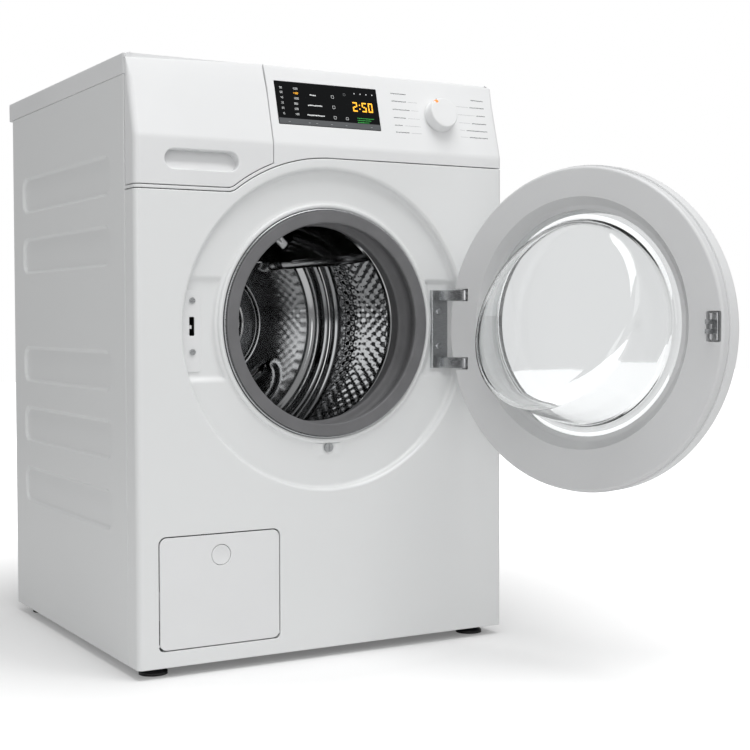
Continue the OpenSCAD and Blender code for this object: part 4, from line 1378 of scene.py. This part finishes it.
def flowing(points: Sequence[Flat], steps: int = 4, closed: bool = True) -> Outline:
    """A smooth curve through the given points.

    Args:
        points: Points that it passes through.
        steps: Pieces between neighbours.
        closed: Whether it returns to its start.

    Returns:
        The curve's points.
    """
    count = len(points)
    curve: Outline = []
    for i in range(count if closed else count - 1):
        near = [(i + k) % count if closed else min(max(i + k, 0), count - 1) for k in (-1, 0, 1, 2)]
        a, b, c, d = (points[k] for k in near)
        for step in range(steps):
            t = step / steps
            curve.append(tuple(
                0.5 * (2 * b[k] + (c[k] - a[k]) * t + (2 * a[k] - 5 * b[k] + 4 * c[k] - d[k]) * t * t
                       + (3 * b[k] - a[k] - 3 * c[k] + d[k]) * t ** 3) for k in (0, 1)))
    return curve


@dataclass
class DoorSeal:
    """The rubber bellows between the front panel and the tub."""

    finishes: Finishes
    axis_height: float = 482.5

    def build(self) -> None:
        """Makes the bellows with a lip, a front land and a folded sleeve."""
        profile = [(162.4, 4.9), (162.2, 3.9), (161.4, 3.45), (158, 3.35), (152, 3.35), (147.6, 3.4),
                   (145.6, 3.8), (144.6, 5.0), (144.5, 7.0), (144.6, 10.0), (146.0, 13.5), (148.2, 18),
                   (149.6, 23), (151.2, 28), (154.4, 32), (155.8, 37), (155.2, 43), (152, 47), (147, 49.2),
                   (143.6, 51.5), (143.0, 55), (145, 59), (149, 62.5), (150.9, 67), (151.0, 76),
                   (151.0, 85.0), (154.1, 85.0), (154.2, 76), (154.1, 67), (152.2, 61), (148.6, 57.6),
                   (147.0, 54.6), (148.6, 52.2), (154, 50), (157.6, 46.6), (158.8, 41), (158.4, 32),
                   (155.4, 27), (153, 20), (150.6, 14), (149, 10.5), (149.5, 8.6), (152, 7.4), (156, 7.2),
                   (158.6, 8.4), (159.0, 12), (159, 20.6), (162, 21.0), (165.0, 20.6), (165.1, 15),
                   (165.0, 10.4), (163.6, 9.7), (162.5, 8.2)]
        form = Form()
        form.turned(flowing(profile, 3), 0, self.axis_height, 224, closed=True)
        form.piece("bellows", self.finishes.new["grey_rubber"], "cabinet", "grey_rubber", ["door_seal"], crisp=60)


@dataclass
class LockPlate:
    """The cover of the door lock with its slot and catch."""

    finishes: Finishes
    x: Flat = (-225.5, -196.5)
    z: Flat = (416.0, 528.5)
    slot: tuple[float, float, float, float] = (-213.4, -206.0, 466.4, 492.4)

    def build(self) -> None:
        """Makes the plate, its frame round the slot and the two screws' wells."""
        form = Form()
        outer = arc((0, 474), 225.4, 194.8, 165.6, 24)
        right = arc((self.x[1] - 4, self.z[1] - 4), 4, 90, 0, 4) + arc((self.x[1] - 4, self.z[0] + 4), 4, 0, -90, 4)
        outline = list(reversed(tidy(right + outer)))
        holes = [rounded(*self.slot, 1.6, 4)] + [arc((-209.5, z), 2.7, 0, 345, 23) for z in (444, 515)]
        form.slab(outline, [(1.0, 16.45), (0.5, 16.55), (0.15, 16.85), (0.0, 17.3), (0.0, 17.95)], holes)
        form.piece("lock_cover", self.finishes.new["white_plastic"], "cabinet", "white_plastic", ["lock_plate"],
                   crisp=50)
        catch = Form()
        catch.bar((-213.0, -209.8), (17.4, 20.5), (476.1, 480.9), 0.4)
        catch.piece("lock_catch", self.finishes.new["white_plastic"], "cabinet", "white_plastic", crisp=50)


@dataclass
class HingeBracket:
    """The steel hinge bracket: a plate on the pad and two folded arms."""

    finishes: Finishes
    pin: Flat = (217.5, -18.7)
    arms: tuple[float, float] = (415.0, 516.5)
    arm_height: float = 16.0

    def build(self) -> None:
        """Makes the plate and the arms with their knuckles."""
        form = Form()
        form.bar((178, 208), (15, 17.9), (415, 532.5), 0.5)
        form.bar((178, 181), (11, 16.5), (415, 532.5), 0.6)
        x, y = self.pin
        plan = [(206.5, 15.6), (194, 15.6)] + arc((x, y), 8, 180, 381, 20)
        for low in self.arms:
            high = low + self.arm_height
            rise = [(0.8, low), (0.25, low + 0.2), (0.0, low + 0.8)]
            rise += [(0.0, high - 0.8), (0.25, high - 0.2), (0.8, high)]
            form.stack(plan, rise)
        form.piece("hinge_irons", self.finishes.new["steel"], "cabinet", "steel", ["hinge_bracket"], crisp=40)


# ---------------------------------------------------------------- door


@dataclass
class Door:
    """The round door: two rings, a pressed glass bowl, an outer pane and the latch."""

    finishes: Finishes
    hinge: Flat = (217.5, -18.7)
    stand: float = 108.0
    ring_middle: float = 474.0
    glass_middle: float = 482.5
    around: int = 384
    slope: float = 0.454
    taper: float = 0.241
    latch_x: float = -212.0

    def build(self) -> None:
        """Makes every part of the door in its open stand."""
        self._inner_ring()
        self._outer_ring()
        self._bowl()
        self._pane()
        self._latch()

    def swing(self, point: Vector) -> Vector:
        """Turns a point of the closed door to the open stand."""
        c, s = math.cos(math.radians(self.stand)), math.sin(math.radians(self.stand))
        dx, dy = point.x - self.hinge[0], point.y - self.hinge[1]
        return Vector((self.hinge[0] + dx * c - dy * s, self.hinge[1] + dx * s + dy * c, point.z))

    def _centre(self, radius: float) -> float:
        """Height of the middle of a circle on the inner ring."""
        share = min(1.0, max(0.0, (220 - radius) / 44))
        return self.ring_middle + (self.glass_middle - self.ring_middle) * share

    def _inner_ring(self) -> None:
        """The ring that faces the machine when the door is shut."""
        profile = [(226, -7.0), (226, 0.0), (226, 3.4)]
        profile += arc((221.6, 3.6), 4.4, 0, 90, 8)
        profile += [(216, 8.0), (205, 8.0), (194, 8.0), (184, 8.0), (178.4, 8.0)]
        profile += arc((176.4, 6.4), 1.6, 60, 150, 5)
        profile += [(172.6, 3.6), (169.2, 0.0), (166.6, -2.7), (165.2, -4.0), (163.6, -4.5), (159.2, -4.5)]
        profile += [(158.2, -4.8), (158.0, -5.4), (158.0, -7.0)]
        form = Form()
        rows = []
        for radius, depth in profile:
            middle = self._centre(radius)
            rows.append(form.ring((radius * math.cos(a), depth, middle + radius * math.sin(a))
                                  for a in [2 * math.pi * i / self.around for i in range(self.around)]))
        form.strips(rows)
        form.bridge(rows[-1], rows[0])
        tools = []
        for low in (415, 516.5):
            notch = Form()
            notch.bar((191, 240), (-27.6, 20), (low - 1.2, low + 17.2), 0.3)
            tools.append(notch)
        pocket = Form()
        pocket.slab(rounded(-222.5, -200.5, 458.5, 499, 3, 5), [(0.0, -6.0), (0.0, 20.0)])
        tools.append(pocket)
        form.piece("door_frame_inner", self.finishes.new["pale_plastic"], "door", "pale_plastic",
                   ["door_inner_ring"], self.swing, 40, tools)
        block = Form()
        block.slab(self._hinge_block(), [(0.0, -29.6), (0.0, -7.2)])
        notches = []
        for low in (415, 516.5):
            notch = Form()
            notch.bar((191, 240), (-40, 20), (low - 1.2, low + 17.2), 0.3)
            notches.append(notch)
        block.piece("hinge_core", self.finishes.new["pale_plastic"], "door", "pale_plastic", (), self.swing, 40,
                    notches)

    def _hinge_block(self) -> Outline:
        """Outline of the block inside the door that holds the hinge pin."""
        edge = [p for p in arc((0, self.ring_middle), 224.4, -18.1, 18.1, 16)]
        return [(203.5, 404.5)] + edge + [(203.5, 543.5)]

    def _outer_ring(self) -> None:
        """The ring that faces the room when the door is shut."""
        profile = [(228.4, -7.4), (228.4, -16.0), (228.4, -25.0)]
        profile += arc((216.4, -26), 12, 0, -90, 12)
        profile += [(210, -38.0), (195, -38.0), (180, -38.0), (168.4, -38.0), (166.6, -37.6), (163.4, -36.0)]
        profile += [(162.4, -35.2), (162.2, -34.2), (162.2, -32.5), (169, -32.5), (169, -11.4), (172, -11.4)]
        profile += [(172, -34.4)]
        profile += arc((216.5, -26), 9, -90, 0, 8)
        profile += [(225.5, -7.4)]
        form = Form()
        form.turned(profile, 0, self.ring_middle, self.around, closed=True)
        tools = []
        for low in (415, 516.5):
            notch = Form()
            notch.bar((191, 240), (-27.6, 20), (low - 1.2, low + 17.2), 0.3)
            tools.append(notch)
        form.piece("door_frame_outer", self.finishes.new["white_plastic"], "door", "white_plastic",
                   ["door_outer_ring"], self.swing, 40, tools)

    def _side(self, angle: float, rim: float, base: float, soft: float) -> Outline:
        """One skin of the bowl along one direction, from its mouth to near its middle.

        Args:
            angle: Direction in radians.
            rim: Radius of the skin at depth 1.
            base: Depth of the leaning end at the axis.
            soft: Size of the rounding between side and end.

        Returns:
            (radius, depth) pairs.
        """
        lean = self.slope * math.sin(angle)
        steep = 1 / self.taper
        r = (steep * rim + 1 - base) / (steep - lean)
        y = base - lean * r
        side = math.hypot(rim - r, y - 1)
        near = min(soft, 0.7 * side)
        back = (r + near * self.taper / math.hypot(self.taper, 1), y - near / math.hypot(self.taper, 1))
        far = soft * 1.15
        ahead = (r - far / math.hypot(lean, 1), y + far * lean / math.hypot(lean, 1))
        skin = [(rim + (back[0] - rim) * k / 10, 1 + (back[1] - 1) * k / 10) for k in range(10)]
        for k in range(13):
            t = k / 12
            ends = zip(back, (r, y), ahead)
            skin.append(tuple((1 - t) ** 2 * p + 2 * t * (1 - t) * q + t * t * n for p, q, n in ends))
        for k in range(1, 9):
            share = 1 - k / 9
            skin.append((ahead[0] * share, base - lean * ahead[0] * share))
        return skin

    def _bowl(self) -> None:
        """The glass bowl, a closed body with an outer and an inner skin."""
        form = Form()
        count = 192
        angles = [2 * math.pi * i / count for i in range(count)]
        outer = [self._side(a, 143.6, 78.6, 17.0) for a in angles]
        inner = [self._side(a, 138.6, 73.1, 13.5) for a in angles]
        flange = [(139.6, -9.6), (141.2, -11.0), (150, -11.0), (167.2, -11.0), (168.0, -10.4), (168.0, -7.8),
                  (167.4, -7.2), (153, -7.2), (150.6, -6.9), (148.2, -5.6), (146.2, -3.4), (144.6, -1.0)]
        courses = [[side[k] for side in inner] for k in range(len(inner[0]) - 1, -1, -1)]
        courses += [[spot] * count for spot in flange]
        courses += [[side[k] for side in outer] for k in range(len(outer[0]))]
        rows = [form.ring((r * math.cos(a), y, self.glass_middle + r * math.sin(a))
                          for a, (r, y) in zip(angles, course)) for course in courses]
        form.strips(rows)
        for row, depth in ((rows[0], 73.1), (rows[-1], 78.6)):
            tip = form.ring([(0, depth, self.glass_middle)])[0]
            form.faces.extend((tip, row[i], row[(i + 1) % count]) for i in range(count))
        form.piece("bowl", self.finishes.new["door_glass"], "door", "door_glass", ["door_glass"], self.swing, 60)

    def _pane(self) -> None:
        """The domed outer pane."""
        form = Form()
        rise = [(r, -41 + 4 * (r / 161.8) ** 2) for r in (0, 20, 50, 80, 110, 135, 155)]
        rise += [(160.9, -37.0), (161.6, -36.6), (161.8, -36.0), (161.8, -33.9), (161.4, -33.2)]
        rise += [(r, -37 + 4 * (r / 161.8) ** 2) for r in (155, 135, 110, 80, 50, 20, 0)]
        form.turned(rise, 0, self.ring_middle, 192)
        form.piece("outer_pane", self.finishes.new["door_pane"], "door", "door_pane", ["door_pane"], self.swing, 60)

    def _latch(self) -> None:
        """The hook and the plate inside its pocket."""
        form = Form()
        turn = [math.pi * k / 10 for k in range(20)]
        rows = [form.ring((self.latch_x + 2.5 * math.cos(a), 2.5 * math.sin(a) - 1, z) for a in turn)
                for z in (460.5, 497.0)]
        form.strips(rows)
        for row in rows:
            form.web(row, axes=(0, 1))
        plan = [(-213.1, -2.0), (-209.3, -2.0), (-209.3, 18.6), (-206.7, 19.4), (-206.5, 21.0), (-208.4, 25.0),
                (-210.2, 26.0), (-213.1, 26.0)]
        for low, high in ((469.0, 475.5), (481.5, 488.0)):
            form.stack(plan, [(0.5, low), (0.0, low + 0.5), (0.0, high - 0.5), (0.5, high)])
        form.bar((-213.1, -210.0), (-2.0, 15.5), (469.5, 487.5), 0.4)
        form.piece("latch_claw", self.finishes.new["steel"], "latch", "steel", ["latch_hook"], self.swing)
        plate = Form()
        plate.slab(rounded(-221.6, -201.4, 459.4, 498.1, 2.4, 4),
                   [(0.6, -5.9), (0.0, -5.6), (0.0, -5.0), (0.4, -4.8)],
                   [rounded(-217.5, -207.0, 466.5, 491.0, 1.5, 3)])
        plate.bar((-206.6, -203.4), (-5.4, 4.0), (461.5, 496.0), 0.5)
        plate.piece("latch_frame", self.finishes.new["pale_plastic"], "door", "pale_plastic", (), self.swing)


# ---------------------------------------------------------------- drum


@dataclass
class Drum:
    """The drum: shell with an embossed rear wall, and three lifters."""

    finishes: Finishes
    radius: float = 240.0
    front: float = 97.2
    rear: float = 445.8
    axis_height: float = 482.5
    first_lifter: float = 36.0

    def build(self) -> None:
        """Makes the shell and the lifters."""
        self._shell()
        self._lifters()

    def _emboss(self, x: float, y: float, z: float) -> tuple[float, float, float]:
        """Presses three rounded ovals into the rear wall."""
        if y > 430:
            height = z - self.axis_height
            away, angle = math.hypot(x, height), math.atan2(height, x)
            turn = (angle - math.radians(66) + math.pi / 3) % (2 * math.pi / 3) - math.pi / 3
            reach = math.hypot(turn * away / 62, (away - 148) / 26)
            y -= 5.0 * (1 - smooth_step(0.8, 1.12, reach)) * (1 - smooth_step(196, 205, away))
        return x, y, z

    def _shell(self) -> None:
        """The shell, its holes only painted shade in its material, and its rear wall as one closed sheet."""
        r, y = self.radius, self.rear
        inside = [(r, self.front + k * (y - 8 - self.front) / 8) for k in range(9)]
        inside += [(r - 0.8, y - 4), (r - 2.8, y - 1.4), (r - 6, y)]
        inside += [(228 - 3.2 * k, y - 3.0 * (1 - math.cos(2 * math.pi * k / 12))) for k in range(13)]
        inside += [(180 - 5 * k, y) for k in range(17)]
        inside += [(96, y), (93, y - 2), (91, y - 4.2), (88, y - 4.6), (66, y - 4.6), (62, y - 4)]
        inside += [(59, y - 0.8), (56, y), (30, y), (0, y)]
        skin = 1.2
        outside = [(0, y + skin), (r - 5, y + skin), (r - 1, y - 0.5), (r + skin, y - 6), (r + skin, self.front)]
        form = Form()
        form.turned(inside + outside, 0, self.axis_height, 216, shape=self._emboss)
        first, last = list(range(216)), list(range(len(form.points) - 216, len(form.points)))
        form.bridge(last, first)
        form.piece("drum_basket", self.finishes.new["stainless"], "drum", "stainless", ["drum_shell"], crisp=50)

    def _lifters(self) -> None:
        """Three hollow-looking fins that taper towards the front."""
        form = Form()
        for k in range(3):
            middle = math.radians(self.first_lifter + 120 * k)
            rows = []
            for y in (108, 109, 112, 118, 130, 150, 180, 230, 300, 380, 430, 436, 438):
                grow = 0.62 + 0.38 * smooth_step(105, 210, y)
                end = 1 - 0.25 * (1 - smooth_step(107, 114, y)) - 0.12 * smooth_step(432, 439, y)
                tip = self.radius - 5.6 - (self.radius - 5.6 - 167) * grow * end
                half = 38 * (0.8 + 0.2 * grow) * end
                rows.append(form.ring(self._fin(middle, tip, half, y)))
            form.strips(rows)
            form.web(rows[0])
            form.web(rows[-1])
        steel = self.finishes.carried["stainless"]
        form.piece("lifter_fins", steel, "drum", "stainless", ["drum_lifters"], crisp=55)

    def _fin(self, middle: float, tip: float, half: float, y: float) -> list[tuple[float, float, float]]:
        """One cross-section of a lifter.

        Args:
            middle: Its direction in radians.
            tip: Radius of its crest.
            half: Half its width at the foot.
            y: Depth of the section.

        Returns:
            The points of the section.
        """
        foot = self.radius - 5.6
        crest = 10.5
        flank = math.degrees(math.atan2(half - crest, foot - tip - crest)) if foot - tip > crest else 45
        arch = arc((tip + crest, 0), crest, 90 + flank * 0.9, 270 - flank * 0.9, 10)
        local = [(foot, -half), (foot, half), (foot - 4, half * 0.94)] + arch + [(foot - 4, -half * 0.94)]
        c, s = math.cos(middle), math.sin(middle)
        return [(a * c - b * s, y, self.axis_height + a * s + b * c) for a, b in local]


# ---------------------------------------------------------------- studio


@dataclass
class Studio:
    """Camera, floor and soft lights."""

    place: tuple[float, float, float] = (-0.9793, -2.0992, 0.4885)
    down: float = 2.223
    turn: float = -30.085
    roll: float = -0.114
    lens: float = 68.67

    def build(self) -> None:
        """Sets the whole studio up."""
        bpy.context.scene.view_settings.view_transform = "Standard"
        self._camera()
        self._surroundings()
        self._floor()
        self._lamp("key", (1.7, -3.2, 2.5), (0.05, -0.2, 0.5), 2.2, 14)
        self._lamp("front", (-2.4, -3.7, 1.5), (0.1, -0.2, 0.5), 2.2, 24)
        self._lamp("top", (0.0, -1.1, 3.6), (0.0, 0.0, 0.5), 2.4, 78)

    def _camera(self) -> None:
        """The camera."""
        data = bpy.data.cameras.new("camera")
        data.lens, data.sensor_width = self.lens, 36.0
        data.clip_end = 60
        camera = bpy.data.objects.new("camera", data)
        camera.location = self.place
        turned = Matrix.Rotation(math.radians(self.turn), 4, "Z")
        turned = turned @ Matrix.Rotation(math.radians(90 - self.down), 4, "X")
        turned = turned @ Matrix.Rotation(math.radians(self.roll), 4, "Z")
        camera.rotation_euler = turned.to_euler()
        bpy.context.scene.collection.objects.link(camera)
        bpy.context.scene.camera = camera

    def _surroundings(self) -> None:
        """A white backdrop for the eye and a softer grey one for the light."""
        world = bpy.data.worlds.new("surroundings")
        bpy.context.scene.world = world
        world.use_nodes = True
        tree = world.node_tree
        tree.nodes.clear()
        seen, lit = tree.nodes.new("ShaderNodeBackground"), tree.nodes.new("ShaderNodeBackground")
        seen.inputs["Color"].default_value = (1, 1, 1, 1)
        lit.inputs["Color"].default_value = (0.38, 0.381, 0.382, 1)
        path, mix = tree.nodes.new("ShaderNodeLightPath"), tree.nodes.new("ShaderNodeMixShader")
        out = tree.nodes.new("ShaderNodeOutputWorld")
        either = tree.nodes.new("ShaderNodeMath")
        either.operation = "MAXIMUM"
        tree.links.new(path.outputs["Is Camera Ray"], either.inputs[0])
        tree.links.new(path.outputs["Is Transmission Ray"], either.inputs[1])
        tree.links.new(either.outputs[0], mix.inputs[0])
        tree.links.new(lit.outputs[0], mix.inputs[1])
        tree.links.new(seen.outputs[0], mix.inputs[2])
        tree.links.new(mix.outputs[0], out.inputs["Surface"])

    def _floor(self) -> None:
        """A pale floor with a painted glow that the camera sees directly and through glass, weak near the machine and
        full far off, so the floor is painted darker round the machine and its shadow shows.
        """
        w = Wiring("pale_floor_painted_glow")
        w.tint(w.spread(w.noise(1.5, 2), 0, 1), (0.80, 0.80, 0.80), (0.82, 0.82, 0.82))
        w.set(Roughness=0.7, Specular_IOR_Level=0.2, Emission_Color=(1, 1, 1, 1))
        split = w.add("ShaderNodeSeparateXYZ")
        w.link(w.place, split.inputs[0])
        reach = w.math("SQRT", w.math("ADD", w.math("MULTIPLY", split.outputs[0], split.outputs[0]),
                                      w.math("MULTIPLY", split.outputs[1], split.outputs[1])))
        path = w.add("ShaderNodeLightPath")
        seen = w.math("MAXIMUM", path.outputs["Is Camera Ray"], path.outputs["Is Transmission Ray"])
        # Painted glow and painted shade: emission 0.15 within 0.4 m of the middle, rising to 1.1 beyond 1.6 m, so the
        # floor round the machine is darker.
        w.link(w.math("MULTIPLY", seen, w.spread(reach, 0.15, 1.1, 0.4, 1.6)), w.shader.inputs["Emission Strength"])
        mesh = bpy.data.meshes.new("floor")
        size = 9.0
        mesh.from_pydata([(-size, -size, 0), (size, -size, 0), (size, size, 0), (-size, size, 0)], [], [(0, 1, 2, 3)])
        mesh.materials.append(w.material)
        floor = bpy.data.objects.new("floor", mesh)
        bpy.context.scene.collection.objects.link(floor)

    @staticmethod
    def _lamp(name: str, place: Sequence[float], aim: Sequence[float], size: float, power: float) -> None:
        """A square soft light.

        Args:
            name: Its name.
            place: Where it stands.
            aim: What it points at.
            size: Length of its sides in metres.
            power: Watts.
        """
        data = bpy.data.lights.new(name, "AREA")
        data.size, data.energy = size, power
        lamp = bpy.data.objects.new(name, data)
        lamp.location = place
        lamp.rotation_euler = (Vector(aim) - Vector(place)).to_track_quat("-Z", "Y").to_euler()
        bpy.context.scene.collection.objects.link(lamp)


def main() -> None:
    """Builds the machine round its frame."""
    logging.basicConfig(level=logging.INFO, format="%(name)s: %(message)s")
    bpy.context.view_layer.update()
    finishes = Finishes()
    LOG.info("dressed %d carried-over nodes", finishes.dress())
    for part in (FrontPanel(finishes), SidePanel(finishes, -1), SidePanel(finishes, 1), Lid(finishes),
                 Fascia(finishes), Drawer(finishes), Knob(finishes), ServiceFlap(finishes), DoorSeal(finishes),
                 LockPlate(finishes), HingeBracket(finishes), Door(finishes), Drum(finishes)):
        part.build()
        LOG.info("built %s", type(part).__name__)
    Studio().build()


if __name__ == "__main__":
    main()
